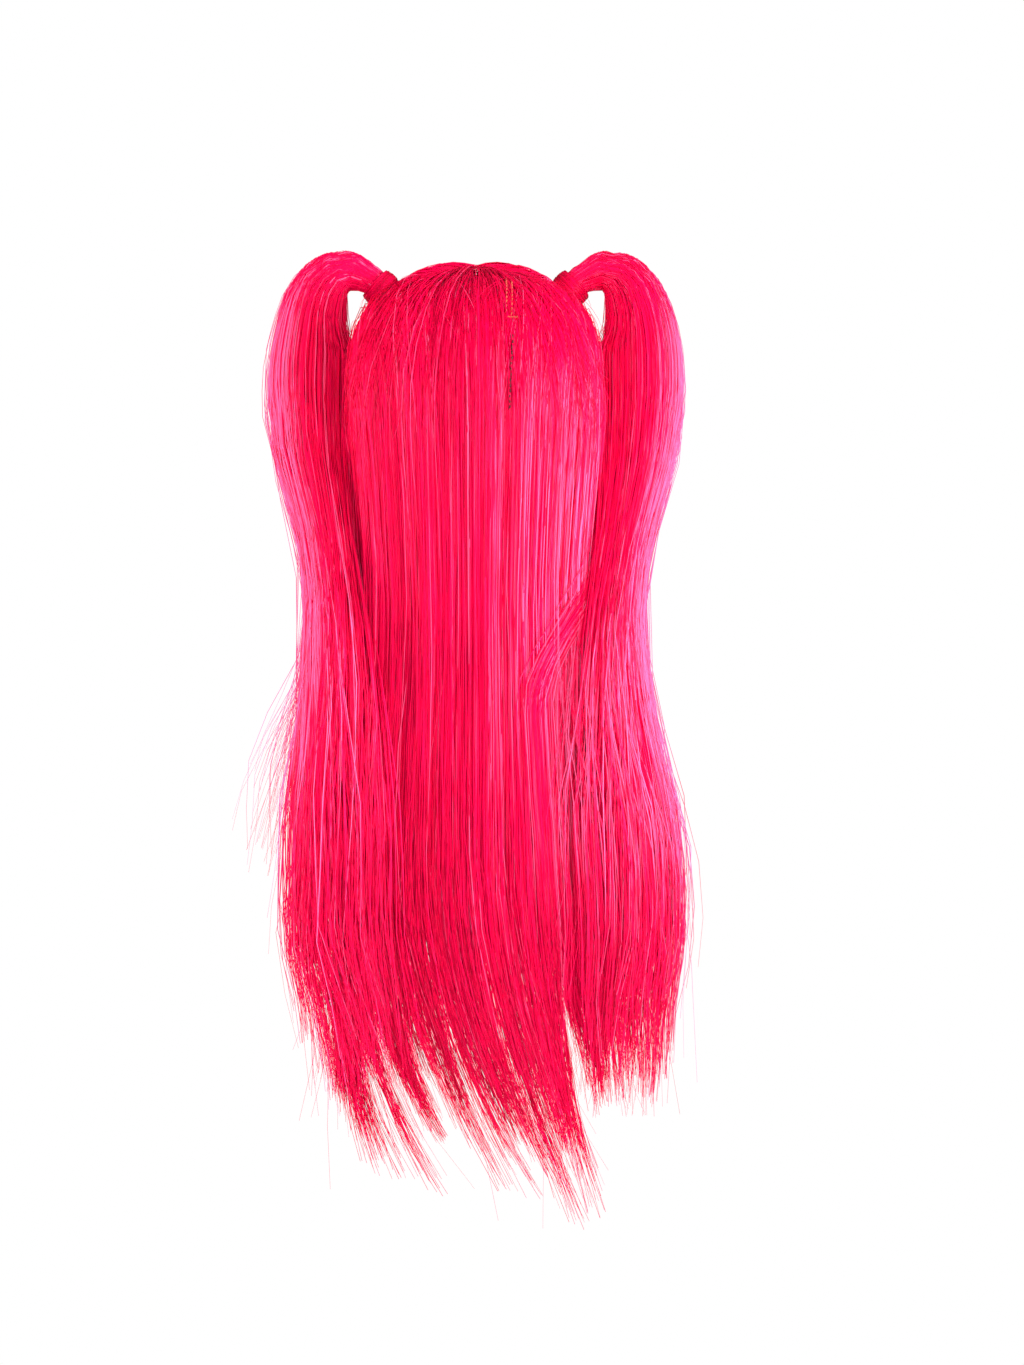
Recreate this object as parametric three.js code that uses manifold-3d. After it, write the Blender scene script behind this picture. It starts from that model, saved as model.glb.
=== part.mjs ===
// A long twin-tail wig, as it hangs when it is worn: a knitted cap, two swept front sections that
// rise to a wrapped tie each, two arching pigtails, and loose back hair down to the waist.
// Units are millimetres. +Z is up, the wearer faces -Y, and the wearer's left is +X.
// The origin is the inside of the cap's crown, where the top of the head touches it.

import * as THREE from 'three';
import { LoftGeometry } from 'three/addons/geometries/LoftGeometry.js';
import { mergeVertices } from 'three/addons/utils/BufferGeometryUtils.js';
import Module from 'manifold-3d';

// Head form that the cap is knitted to
const headHalfWidth = 73;
const headHalfDepth = 92;
const headRise = 105; // from the widest level up to the crown
const headFullness = 2.5; // 2 is an ellipse from the side, more is squarer

// Cap
const capWall = 2;
const hairlineDrop = 50; // crown down to the edge over the forehead
const napeDrop = 150; // crown down to the edge at the nape
const seamGap = 0.4; // between pieces that lie on each other

// Hair that lies on the cap
const sideHair = 10;
const backHair = 13;
const backCrownHair = 2;
const frontCrownHair = 14;
const frontPartHair = 11; // beside the centre part
const frontEdgeHair = 5; // along the hairline
const hairFullness = 2.9;
const crownFullness = 3.8; // of the back hair where it crosses the crown
const partingBack = 14; // the cross parting lies this far behind the crown
const partWidth = 1.2; // gap of the centre part
const hairlineInset = 3; // hair starts this far above the cap's front edge

// Ties
const tieLean = 39; // degrees from upright, in the head's own proportions
const tieStandoff = 19; // cap to the middle of the tie
const neckRadius = 8.5;
const tieThickness = 3.2;
const tieLength = 12;
const tieAim = 43; // degrees above level at which the hair leaves the tie

// Pigtails
const archReach = 46; // tie to the middle of the hanging hair
const archRise = 13; // tie to the top of the arch, middle to middle
const pigtailWidth = 51;
const pigtailDepth = 42;
const pigtailGap = 1; // between a pigtail and the back hair
const pigtailDrop = 470; // crown down to where it has turned into loose ends

// Loose back hair
const sheetDrop = 480; // crown down to where the sheet has turned into locks
const tipDrop = 593; // crown down to the longest tip
const sheetThickness = 20;
const lockDepth = 10;
const ridgeHeight = 1.6;
const ridgeCount = 14;
const edgeRise = 14; // how uneven the sheet's lower edge is

// Sewn weft that shows at the crown
const weftLean = -13; // degrees from the middle, towards the wearer's right
const weftStart = 27; // degrees down the back of the head from the cross parting
const weftEnd = 52;
const weftWidth = 5;
const weftThickness = 0.9;

const wigPink = new THREE.MeshStandardMaterial({ color: 0xf0104e, roughness: 0.45, metalness: 0 });
const shadePink = new THREE.MeshStandardMaterial({ color: 0xb40a3a, roughness: 0.6, metalness: 0 });
const netPink = new THREE.MeshStandardMaterial({ color: 0xc22a55, roughness: 0.85, metalness: 0 });
const threadPink = new THREE.MeshStandardMaterial({ color: 0xd8604a, roughness: 0.7, metalness: 0 });

const wasm = await Module();
wasm.setup();

const { lerp, degToRad, smoothstep, clamp } = THREE.MathUtils;
const headCentre = new THREE.Vector3(0, 0, -headRise);

// Reads a column of a table at a share between its first and last row.
function readTable(rows, key, column, value) {
  const last = rows.length - 1;
  if (value <= rows[0][key]) return rows[0][column];
  if (value >= rows[last][key]) return rows[last][column];
  const next = rows.findIndex((row) => row[key] >= value);
  const [before, after] = [rows[next - 1], rows[next]];
  const share = smoothstep(value, before[key], after[key]);
  return lerp(before[column], after[column], share);
}

// A closed mesh as a solid that can be joined and cut. Triangles that a pole flattens are left out.
function toSolid(geometry) {
  const bare = new THREE.BufferGeometry();
  bare.setAttribute('position', geometry.getAttribute('position'));
  bare.setIndex(geometry.getIndex());
  const merged = mergeVertices(bare, 1e-3);
  const corners = Array.from(merged.index.array);
  const kept = [];
  for (let i = 0; i < corners.length; i += 3) {
    const [a, b, c] = corners.slice(i, i + 3);
    if (a !== b && b !== c && a !== c) kept.push(a, b, c);
  }
  return new wasm.Manifold(new wasm.Mesh({
    numProp: 3,
    vertProperties: new Float32Array(merged.getAttribute('position').array),
    triVerts: new Uint32Array(kept),
  }));
}

// A finished solid as a named mesh.
function toMesh(solid, name, material) {
  const { vertProperties, triVerts } = solid.getMesh();
  const geometry = new THREE.BufferGeometry();
  geometry.setAttribute('position', new THREE.BufferAttribute(vertProperties, 3));
  geometry.setIndex(new THREE.BufferAttribute(triVerts, 1));
  geometry.computeVertexNormals();
  const mesh = new THREE.Mesh(geometry, material);
  mesh.name = name;
  return mesh;
}

// Head and cap

// A point of a rounded form about a centre: the direction is in the form's own proportions.
function onForm(direction, centre, size, fullness) {
  const sum = Math.abs(direction.x) ** fullness
    + Math.abs(direction.y) ** fullness
    + Math.abs(direction.z) ** fullness;
  return direction.clone().multiply(size).multiplyScalar(sum ** (-1 / fullness)).add(centre);
}

// The point of the head form, grown by lift, in a direction from its centre.
function headPoint(direction, lift) {
  const size = new THREE.Vector3(headHalfWidth, headHalfDepth, headRise).addScalar(lift);
  return onForm(direction, headCentre, size, headFullness);
}

// A direction from the head's centre: azimuth 0 is the forehead, and polar 0 the crown.
function aim(azimuth, polar) {
  return new THREE.Vector3(
    Math.sin(azimuth) * Math.sin(polar),
    -Math.cos(azimuth) * Math.sin(polar),
    Math.cos(polar),
  );
}

// Height of the cap's edge at an azimuth: high over the forehead and low at the nape.
function rimHeight(azimuth) {
  return -lerp(hairlineDrop, napeDrop, (1 - Math.cos(azimuth)) / 2);
}

// Polar angle at which the head form, grown by lift, reaches a height.
function polarAt(azimuth, height, lift) {
  let low = 0;
  let high = Math.PI;
  for (let i = 0; i < 40; i += 1) {
    const middle = (low + high) / 2;
    if (headPoint(aim(azimuth, middle), lift).z > height) low = middle;
    else high = middle;
  }
  return (low + high) / 2;
}

const capTurns = 36;
const capRows = 9;

// One radial line of the head form from the crown to the cap's edge.
function capLine(azimuth, lift) {
  const edge = polarAt(azimuth, rimHeight(azimuth), lift);
  return Array.from(
    { length: capRows + 1 },
    (_, i) => headPoint(aim(azimuth, (edge * i) / capRows), lift),
  );
}

// A solid turned round the head's upright axis, from a section at each azimuth.
function turned(makeSection) {
  const sections = Array.from(
    { length: capTurns + 1 },
    (_, i) => makeSection((2 * Math.PI * (i % capTurns)) / capTurns),
  );
  return toSolid(new LoftGeometry(sections));
}

function makeCap() {
  return turned((azimuth) => [...capLine(azimuth, capWall), ...capLine(azimuth, 0).reverse()]);
}

// The whole head form, grown by lift, with the cap's own facets: what hair is cut back from.
function headCore(lift) {
  const belowRows = 5;
  return turned((azimuth) => {
    const edge = polarAt(azimuth, rimHeight(azimuth), lift);
    const below = Array.from(
      { length: belowRows },
      (_, i) => headPoint(aim(azimuth, lerp(edge, Math.PI, (i + 1) / belowRows)), lift),
    );
    return [...capLine(azimuth, lift), ...below];
  });
}

// Ties and the front sections

function tieDirection(side) {
  return new THREE.Vector3(side * Math.sin(degToRad(tieLean)), 0, Math.cos(degToRad(tieLean)));
}

// The middle of the tie, the way the hair runs through it, and two directions square to that.
function tieFrame(side) {
  const toTie = tieDirection(side);
  const centre = headPoint(toTie, capWall).addScaledVector(toTie, tieStandoff);
  const [level, upright] = [Math.cos(degToRad(tieAim)), Math.sin(degToRad(tieAim))];
  return {
    centre,
    along: new THREE.Vector3(side * level, 0, upright),
    across: new THREE.Vector3(0, 1, 0),
    upward: new THREE.Vector3(-side * upright, 0, level),
  };
}

// A round section of the hair's neck, offset along the tie.
function neckRing(side, radius, offset, count) {
  const { centre, along, across, upward } = tieFrame(side);
  return Array.from({ length: count }, (_, i) => {
    const turn = (2 * Math.PI * i) / count;
    return centre.clone()
      .addScaledVector(along, offset)
      .addScaledVector(across, radius * Math.sin(turn))
      .addScaledVector(upward, radius * Math.cos(turn));
  });
}

// Whether a direction still meets the part of the cap that a front section covers.
function onFront(direction, side) {
  const point = headPoint(direction, capWall);
  const azimuth = Math.atan2(direction.x, -direction.y);
  return side * point.x > partWidth / 2
    && point.y < partingBack - seamGap
    && point.z > rimHeight(azimuth) + hairlineInset;
}

// The direction reached by combing from the tie by an angle. Turn 0 combs to the centre part,
// 90 degrees to the back.
function combed(side, turn, angle) {
  const toTie = tieDirection(side);
  const toPart = new THREE.Vector3(-side * toTie.z, 0, side * toTie.x);
  return toTie.multiplyScalar(Math.cos(angle))
    .addScaledVector(toPart, Math.sin(angle) * Math.cos(turn))
    .add(new THREE.Vector3(0, Math.sin(angle) * Math.sin(turn), 0));
}

// How far from the tie, as an angle, the front section's roots lie.
function frontReach(side, turn) {
  let low = 0;
  let high = 0;
  const step = degToRad(2);
  while (onFront(combed(side, turn, high), side) && high < Math.PI) {
    low = high;
    high += step;
  }
  for (let i = 0; i < 12; i += 1) {
    const middle = (low + high) / 2;
    if (onFront(combed(side, turn, middle), side)) low = middle;
    else high = middle;
  }
  return low;
}

// Sections of a front piece from its roots to its neck: how near the tie, how thick from the
// edge's hair to its full hair, and how far it has drawn into the neck.
const frontRows = [
  { near: 0.0, rise: 0.0, drawn: 0.0 },
  { near: 0.1, rise: 0.55, drawn: 0.0 },
  { near: 0.28, rise: 1.0, drawn: 0.0 },
  { near: 0.5, rise: 1.0, drawn: 0.08 },
  { near: 0.7, rise: 0.75, drawn: 0.28 },
  { near: 0.86, rise: 0.4, drawn: 0.62 },
];

function makeFront(side, core) {
  const count = 40;
  const turns = Array.from({ length: count }, (_, i) => (2 * Math.PI * i) / count);
  const reaches = turns.map((turn) => frontReach(side, turn));
  const neck = neckRing(side, neckRadius, -tieLength / 2 - seamGap, count);
  const rings = frontRows.map(({ near, rise, drawn }) => turns.map((turn, i) => {
    const direction = combed(side, turn, reaches[i] * (1 - near));
    const fullHair = lerp(sideHair, frontCrownHair, clamp(direction.z, 0, 1));
    const edgeHair = lerp(frontEdgeHair, frontPartHair, Math.max(Math.cos(turn), 0) ** 2);
    const lift = capWall + lerp(edgeHair, fullHair, rise);
    return headPoint(direction, lift).lerp(neck[i], drawn);
  }));
  const roots = turns.map((turn, i) => headPoint(combed(side, turn, reaches[i]), 0));
  const inside = roots.map((point) => point.clone().lerp(headCentre, 0.3));
  const sections = [inside, roots, ...rings, neck];
  if (side > 0) sections.forEach((section) => section.reverse());
  const { centre, along } = tieFrame(side);
  const neckPlane = along.dot(centre) - tieLength / 2 - seamGap;
  return toSolid(new LoftGeometry(sections, { capStart: true, capEnd: true }))
    .trimByPlane(along.clone().negate().toArray(), -neckPlane)
    .trimByPlane([0, -1, 0], -(partingBack - seamGap))
    .subtract(core);
}

function makeTie(side) {
  const count = 20;
  const around = 8;
  const middleRadius = neckRadius + seamGap + tieThickness / 2;
  const sections = Array.from({ length: around + 1 }, (_, i) => {
    const turn = (-2 * Math.PI * (i % around)) / around;
    const radius = middleRadius + (tieThickness / 2) * Math.cos(turn);
    const ring = neckRing(side, radius, (tieLength / 2) * Math.sin(turn), count);
    return side < 0 ? ring.reverse() : ring;
  });
  return toSolid(new LoftGeometry(sections));
}

// Pigtails

// The arch, from the tie to the hanging hair: out and up are shares of its reach and rise, and the
// other columns as for the hanging hair.
const archRows = [
  { out: 0.23, up: 0.64, left: 0.4, right: 0.4, deep: 0.46, back: 0.0 },
  { out: 0.5, up: 0.92, left: 0.52, right: 0.52, deep: 0.62, back: 0.01 },
  { out: 0.77, up: 0.42, left: 0.66, right: 0.66, deep: 0.8, back: 0.03 },
  { out: 0.94, up: -0.75, left: 0.8, right: 0.8, deep: 0.94, back: 0.06 },
];

// The hanging hair: down is a share of the drop from the crown, left and right are how wide each
// pigtail is as a share of its width, deep is a share of its depth, and back is how far it has
// slanted from the tie's depth to the back hair's outside.
const hangRows = [
  { down: 0.075, left: 0.88, right: 0.9, deep: 1.0, back: 0.1 },
  { down: 0.13, left: 0.94, right: 0.94, deep: 1.0, back: 0.17 },
  { down: 0.21, left: 0.91, right: 0.9, deep: 0.98, back: 0.28 },
  { down: 0.3, left: 0.77, right: 0.74, deep: 0.9, back: 0.42 },
  { down: 0.38, left: 0.64, right: 0.62, deep: 0.8, back: 0.58 },
  { down: 0.46, left: 0.61, right: 0.58, deep: 0.72, back: 0.73 },
  { down: 0.56, left: 0.64, right: 0.62, deep: 0.64, back: 0.84 },
  { down: 0.68, left: 0.52, right: 0.74, deep: 0.56, back: 0.88 },
  { down: 0.8, left: 0.5, right: 0.78, deep: 0.5, back: 0.9 },
  { down: 0.9, left: 0.58, right: 0.76, deep: 0.44, back: 0.92 },
  { down: 0.98, left: 0.4, right: 0.62, deep: 0.34, back: 0.93 },
];

const pigtailCount = 26;
const pigtailWave = 0.05; // how far its ridges stand out, as a share of its half size

// A hair bundle through sections that each have a middle, a half width and a half depth.
function bundle(stations, count, ridges) {
  const rings = stations.map((station, i) => {
    const before = stations[Math.max(i - 1, 0)].middle;
    const after = stations[Math.min(i + 1, stations.length - 1)].middle;
    const tangent = station.tangent ?? new THREE.Vector3().subVectors(after, before).normalize();
    const across = new THREE.Vector3(0, 1, 0).addScaledVector(tangent, -tangent.y).normalize();
    const outward = new THREE.Vector3().crossVectors(across, tangent);
    return Array.from({ length: count }, (_, j) => {
      const turn = (2 * Math.PI * j) / count;
      const swell = 1 + ridges * (station.wave ?? 1) * Math.cos(5 * turn + i * 0.35);
      return station.middle.clone()
        .addScaledVector(outward, station.halfWidth * swell * Math.cos(turn))
        .addScaledVector(across, station.halfDepth * swell * Math.sin(turn));
    });
  });
  return toSolid(new LoftGeometry(rings, { capStart: true, capEnd: true }));
}

// Rows of middles and half sizes that a pigtail runs through, from the tie's outer end.
function pigtailRows(side) {
  const { centre, along } = tieFrame(side);
  const halfWide = (row) => (pigtailWidth / 2) * (side > 0 ? row.left : row.right);
  const end = centre.clone().addScaledVector(along, tieLength / 2 + seamGap);
  const arch = archRows.map((row) => ({
    middle: new THREE.Vector3(
      centre.x + side * archReach * row.out,
      lerp(centre.y, fallReach, row.back),
      centre.z + archRise * row.up,
    ),
    halfWidth: halfWide(row),
    halfDepth: (pigtailDepth / 2) * row.deep,
  }));
  const hang = hangRows.map((row) => {
    const height = -pigtailDrop * row.down;
    const inside = fallSide(height, side) + pigtailGap;
    return {
      middle: new THREE.Vector3(
        side * (inside + halfWide(row) * (1 + pigtailWave)),
        lerp(centre.y, fallReach, row.back),
        height,
      ),
      halfWidth: halfWide(row),
      halfDepth: (pigtailDepth / 2) * row.deep,
    };
  });
  return [{ middle: end, halfWidth: neckRadius, halfDepth: neckRadius }, ...arch, ...hang];
}

// The same run as smooth stations, with the straight neck inside the tie before it.
function pigtailStations(side, rows) {
  const { centre, along } = tieFrame(side);
  const middles = new THREE.CatmullRomCurve3(rows.map(({ middle }) => middle));
  const sizes = new THREE.CatmullRomCurve3(
    rows.map(({ halfWidth, halfDepth }) => new THREE.Vector3(halfWidth, halfDepth, 0)),
  );
  const run = Array.from({ length: pigtailCount + 1 }, (_, i) => {
    const size = sizes.getPoint(i / pigtailCount);
    return { middle: middles.getPoint(i / pigtailCount), halfWidth: size.x, halfDepth: size.y };
  });
  const neck = {
    middle: centre.clone().addScaledVector(along, -tieLength / 2),
    halfWidth: neckRadius,
    halfDepth: neckRadius,
  };
  [neck, run[0]].forEach((station) => Object.assign(station, { tangent: along, wave: 0 }));
  return [neck, ...run];
}

// Loose ends of each pigtail: from and to are shares of its drop, start and end lie across it in
// pigtail widths away from the back hair, bend is how late it swings out, back is how far the tip
// goes back in pigtail depths, and wide and deep are shares of its width and depth.
const leftEnds = [
  { from: 0.52, to: 0.77, start: 0.12, end: 0.8, bend: 0.75, back: -0.5, wide: 0.4, deep: 0.3 },
  { from: 0.8, to: 1.02, start: -0.1, end: -0.12, bend: 1.5, back: 0.0, wide: 0.3, deep: 0.26 },
  { from: 0.8, to: 1.08, start: 0.06, end: -0.02, bend: 1.5, back: -0.05, wide: 0.34, deep: 0.28 },
  { from: 0.76, to: 1.0, start: 0.14, end: 0.26, bend: 1.5, back: 0.0, wide: 0.26, deep: 0.24 },
];
const rightEnds = [
  { from: 0.84, to: 1.1, start: -0.2, end: -0.2, bend: 1.5, back: 0.0, wide: 0.34, deep: 0.3 },
  { from: 0.86, to: 1.11, start: 0.0, end: 0.04, bend: 1.5, back: -0.04, wide: 0.38, deep: 0.3 },
  { from: 0.84, to: 1.09, start: 0.22, end: 0.28, bend: 1.5, back: 0.0, wide: 0.32, deep: 0.28 },
];

// How a lock's width runs from its root to its tip.
const lockTaper = [
  { along: 0.0, size: 0.8 },
  { along: 0.3, size: 1.0 },
  { along: 0.6, size: 0.86 },
  { along: 0.82, size: 0.52 },
  { along: 1.0, size: 0.1 },
];

// One loose end, which follows the pigtail's middle and then leaves it.
function pigtailEnd(side, path, row) {
  const made = lockTaper.map(({ along, size }) => {
    const height = -pigtailDrop * lerp(row.from, row.to, along);
    const outward = pigtailWidth * lerp(row.start, row.end, along ** row.bend);
    return {
      middle: new THREE.Vector3(
        readTable(path, 'below', 'x', -height) + side * outward,
        readTable(path, 'below', 'y', -height) + pigtailDepth * row.back * along,
        height,
      ),
      halfWidth: (pigtailWidth / 2) * row.wide * size,
      halfDepth: (pigtailDepth / 2) * row.deep * size,
    };
  });
  return bundle(made, 8, 0);
}

function makePigtail(side, ends) {
  const rows = pigtailRows(side);
  const path = rows.slice(-hangRows.length)
    .map(({ middle }) => ({ below: -middle.z, x: middle.x, y: middle.y }));
  const main = bundle(pigtailStations(side, rows), 16, pigtailWave);
  return ends.reduce((whole, row) => whole.add(pigtailEnd(side, path, row)), main);
}

// Loose back hair

// Sections of the hanging back hair. down is a share of the way from the head's widest level to the
// sheet's end; left, right and back are shares of the hair's half width and depth at that level,
// side is where the sheet's edges lie as a share of its depth, and thick of its thickness.
const fallRows = [
  { down: 0.0, left: 1.0, right: 1.0, back: 1.0, side: 0.13, thick: 1.0 },
  { down: 0.1, left: 0.95, right: 0.96, back: 1.0, side: 0.15, thick: 1.0 },
  { down: 0.25, left: 0.89, right: 0.9, back: 0.97, side: 0.3, thick: 1.05 },
  { down: 0.4, left: 0.9, right: 0.91, back: 0.93, side: 0.46, thick: 1.1 },
  { down: 0.55, left: 0.97, right: 0.96, back: 0.92, side: 0.56, thick: 1.05 },
  { down: 0.7, left: 1.0, right: 1.0, back: 0.92, side: 0.62, thick: 0.9 },
  { down: 0.85, left: 1.03, right: 1.03, back: 0.93, side: 0.66, thick: 0.65 },
  { down: 1.0, left: 1.04, right: 1.03, back: 0.94, side: 0.7, thick: 0.3 },
];

const fallHalfWidth = headHalfWidth + capWall + sideHair;
const fallReach = headHalfDepth + capWall + backHair;

function fallShare(height) {
  return clamp((-height - headRise) / (sheetDrop - headRise), 0, 1);
}

// Half width of the back hair on one side at a height, above the widest level too.
function fallSide(height, side) {
  return fallHalfWidth * readTable(fallRows, 'down', side > 0 ? 'left' : 'right', fallShare(height));
}

// A point of the hanging back hair: turn runs from -90 degrees at the wearer's right to 90 at the
// left, and inward is the depth below its outside.
function fallPoint(turn, share, inward) {
  const read = (column) => readTable(fallRows, 'down', column, share);
  const direction = new THREE.Vector3(Math.sin(turn), Math.cos(turn), 0);
  const edge = Math.max(fallReach * read('side'), partingBack);
  const halfWidth = fallHalfWidth * read(turn > 0 ? 'left' : 'right');
  const centre = new THREE.Vector3(0, edge, lerp(-headRise, -sheetDrop, share));
  const size = new THREE.Vector3(halfWidth, fallReach * read('back') - edge, 1);
  return onForm(direction, centre, size.subScalar(inward), hairFullness);
}

// A point of the hair over the back of the cap. tilt 0 is the cross parting, upright over the
// crown, and tilt 90 degrees is level with the head's widest part.
function hoodPoint(turn, tilt, inward) {
  const direction = new THREE.Vector3(
    Math.sin(turn),
    Math.cos(turn) * Math.sin(tilt),
    Math.cos(turn) * Math.cos(tilt),
  );
  const centre = new THREE.Vector3(0, partingBack, -headRise);
  const size = new THREE.Vector3(
    fallHalfWidth,
    fallReach - partingBack,
    headRise + capWall + backCrownHair,
  );
  const fullness = lerp(crownFullness, hairFullness, Math.sin(tilt));
  return onForm(direction, centre, size.subScalar(inward), fullness);
}

// How far the ridges of the hair stand out.
function ridge(turn, grown) {
  const waves = Math.cos(ridgeCount * turn + 0.6) + 0.6 * Math.cos(ridgeCount * 1.7 * turn + 2.1);
  return ridgeHeight * grown * waves * Math.cos(turn) ** 0.5;
}

// A point above the hair over the cap, whose ridges grow from nothing at the cross parting.
function hoodOutside(turn, tilt, above) {
  return hoodPoint(turn, tilt, -above - ridge(turn, smoothstep(tilt, 0.1, Math.PI / 2)));
}

// How much lower the sheet's edge hangs at a place across it.
function edgeWave(turn) {
  return edgeRise * (Math.cos(ridgeCount * turn + 0.6) + 0.5 * Math.sin(5 * turn));
}

const acrossCount = 40;
const hoodRows = 8;
const sheetRows = 11;

// A ring of points: along the outside from right to left, and back along the inside.
function layerRing(outside, inside) {
  const turns = Array.from(
    { length: acrossCount + 1 },
    (_, i) => lerp(-Math.PI / 2, Math.PI / 2, i / acrossCount),
  );
  return [...turns.map(outside), ...turns.map(inside).reverse()];
}

// Locks that the back hair ends in. root and tip are places across it, from -1 at the wearer's
// right to 1 at the left; bend is how much of the sweep comes late, drop is a share of the longest
// tip's, and wide is a share of the half width.
const fallLocks = [
  { root: 0.9, tip: 0.62, drop: 0.88, wide: 0.2, bend: 1.6 },
  { root: 0.76, tip: 0.42, drop: 0.955, wide: 0.22, bend: 2.1 },
  { root: 0.54, tip: 0.17, drop: 0.944, wide: 0.21, bend: 2.0 },
  { root: 0.34, tip: -0.12, drop: 0.985, wide: 0.24, bend: 2.0 },
  { root: 0.14, tip: -0.3, drop: 0.93, wide: 0.23, bend: 2.0 },
  { root: -0.06, tip: -0.54, drop: 1.0, wide: 0.3, bend: 1.8 },
  { root: -0.3, tip: -0.56, drop: 0.93, wide: 0.22, bend: 1.8 },
  { root: -0.54, tip: -0.74, drop: 0.86, wide: 0.22, bend: 1.6 },
  { root: -0.8, tip: -0.84, drop: 0.83, wide: 0.18, bend: 1.4 },
];
const lockRootDrop = 0.78; // of the sheet's drop

function fallLock({ root, tip, drop, wide, bend }) {
  const made = lockTaper.map(({ along, size }) => {
    const height = -lerp(sheetDrop * lockRootDrop, tipDrop * drop, along);
    const share = fallShare(height);
    const turn = lerp(root, tip, along ** bend) * (Math.PI / 2);
    const inward = (sheetThickness / 2) * readTable(fallRows, 'down', 'thick', share);
    return {
      middle: fallPoint(turn, share, inward).setZ(height),
      halfWidth: fallHalfWidth * wide * size,
      halfDepth: (lockDepth / 2) * size,
    };
  });
  return bundle(made, 10, 0);
}

// The back hair: from the cross parting over the back of the cap, then down to the locks.
function makeBackHair(core) {
  const hood = Array.from({ length: hoodRows }, (_, row) => {
    const tilt = (Math.PI / 2) * (row / hoodRows);
    return layerRing(
      (turn) => hoodOutside(turn, tilt, 0),
      (turn) => hoodPoint(turn, tilt, sheetThickness),
    );
  });
  const sheet = Array.from({ length: sheetRows + 1 }, (_, row) => {
    const share = row / sheetRows;
    const thickness = sheetThickness * readTable(fallRows, 'down', 'thick', share);
    const uneven = (point, turn) => point.setZ(point.z - edgeWave(turn) * share ** 6);
    return layerRing(
      (turn) => uneven(fallPoint(turn, share, -ridge(turn, 1)), turn),
      (turn) => uneven(fallPoint(turn, share, thickness), turn),
    );
  });
  const loft = new LoftGeometry([...hood, ...sheet], { capStart: true, capEnd: true });
  return fallLocks.reduce((whole, row) => whole.add(fallLock(row)), toSolid(loft).subtract(core));
}

// The strip of sewn weft that shows through the hair behind the crown.
function makeWeft() {
  const rows = 8;
  const middle = degToRad(weftLean);
  const half = weftWidth / 2 / fallHalfWidth;
  const turns = [middle - half, middle, middle + half];
  const sections = Array.from({ length: rows + 1 }, (_, row) => {
    const tilt = degToRad(lerp(weftStart, weftEnd, row / rows));
    return [
      ...turns.map((turn) => hoodOutside(turn, tilt, seamGap + weftThickness)),
      ...turns.map((turn) => hoodOutside(turn, tilt, seamGap)).reverse(),
    ];
  });
  return toSolid(new LoftGeometry(sections, { capStart: true, capEnd: true }));
}

const core = headCore(capWall + seamGap);
const wig = new THREE.Group();
wig.add(
  toMesh(makeCap(), 'cap', netPink),
  toMesh(makeFront(1, core), 'front_left', wigPink),
  toMesh(makeFront(-1, core), 'front_right', wigPink),
  toMesh(makeTie(1), 'tie_left', shadePink),
  toMesh(makeTie(-1), 'tie_right', shadePink),
  toMesh(makePigtail(1, leftEnds), 'pigtail_left', wigPink),
  toMesh(makePigtail(-1, rightEnds), 'pigtail_right', wigPink),
  toMesh(makeBackHair(core), 'back_hair', wigPink),
  toMesh(makeWeft(), 'weft_seam', threadPink),
);

export default wig;
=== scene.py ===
"""Dresses the twin-tail wig: strands, wrapped ties, knitted cap, sewn weft, light and camera.

Forms are worked out in millimetres, in the frame's own directions, and made in metres:
+Z is up, the wearer faces -Y, and the wearer's left is +X.
"""

import math

import bpy
import numpy as np
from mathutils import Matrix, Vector


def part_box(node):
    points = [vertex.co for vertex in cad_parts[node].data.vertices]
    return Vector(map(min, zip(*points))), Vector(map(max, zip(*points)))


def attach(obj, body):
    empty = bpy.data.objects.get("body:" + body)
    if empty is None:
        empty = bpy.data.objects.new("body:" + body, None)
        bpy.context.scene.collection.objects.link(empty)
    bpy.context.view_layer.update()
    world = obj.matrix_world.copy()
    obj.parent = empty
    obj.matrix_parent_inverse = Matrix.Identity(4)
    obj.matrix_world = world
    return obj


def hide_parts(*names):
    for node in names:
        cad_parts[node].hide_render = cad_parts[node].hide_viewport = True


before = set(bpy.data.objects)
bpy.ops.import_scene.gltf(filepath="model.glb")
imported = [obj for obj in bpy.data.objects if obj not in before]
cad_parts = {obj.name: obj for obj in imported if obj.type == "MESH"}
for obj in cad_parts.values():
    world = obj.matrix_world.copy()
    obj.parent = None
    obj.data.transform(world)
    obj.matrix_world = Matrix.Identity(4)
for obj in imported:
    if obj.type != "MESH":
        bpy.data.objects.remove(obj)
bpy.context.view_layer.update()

bl_info = {
    "name": "Pigtail wig looks",
    "version": (1, 0, 0),
    "blender": (4, 5, 0),
    "location": "View3D > Sidebar > Wig",
    "description": "Builds the hair, ties, cap and sewn weft of a twin-tail wig over its solids",
    "category": "Object",
}

MM = 0.001
QUARTER = math.pi / 2
FULL_TURN = 2 * math.pi


def node_box(name):
    """A solid's lowest and highest corner, in millimetres."""
    low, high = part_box(name)
    return np.array(low) / MM, np.array(high) / MM


# Head form under the cap
CAP_WALL = 2.0
HEAD_HALF_WIDTH = node_box("cap")[1][0] - CAP_WALL
HEAD_HALF_DEPTH = node_box("cap")[1][1] - CAP_WALL
HEAD_RISE = 105.0
HEAD_FULLNESS = 2.5
HEAD_SIZE = np.array([HEAD_HALF_WIDTH, HEAD_HALF_DEPTH, HEAD_RISE])
HEAD_CENTRE = np.array([0.0, 0.0, -HEAD_RISE])
HAIRLINE_DROP = 50.0
NAPE_DROP = -node_box("cap")[0][2]
HAIR_LIFT = CAP_WALL + 0.7  # the lowest that hair lies over the head form

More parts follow.
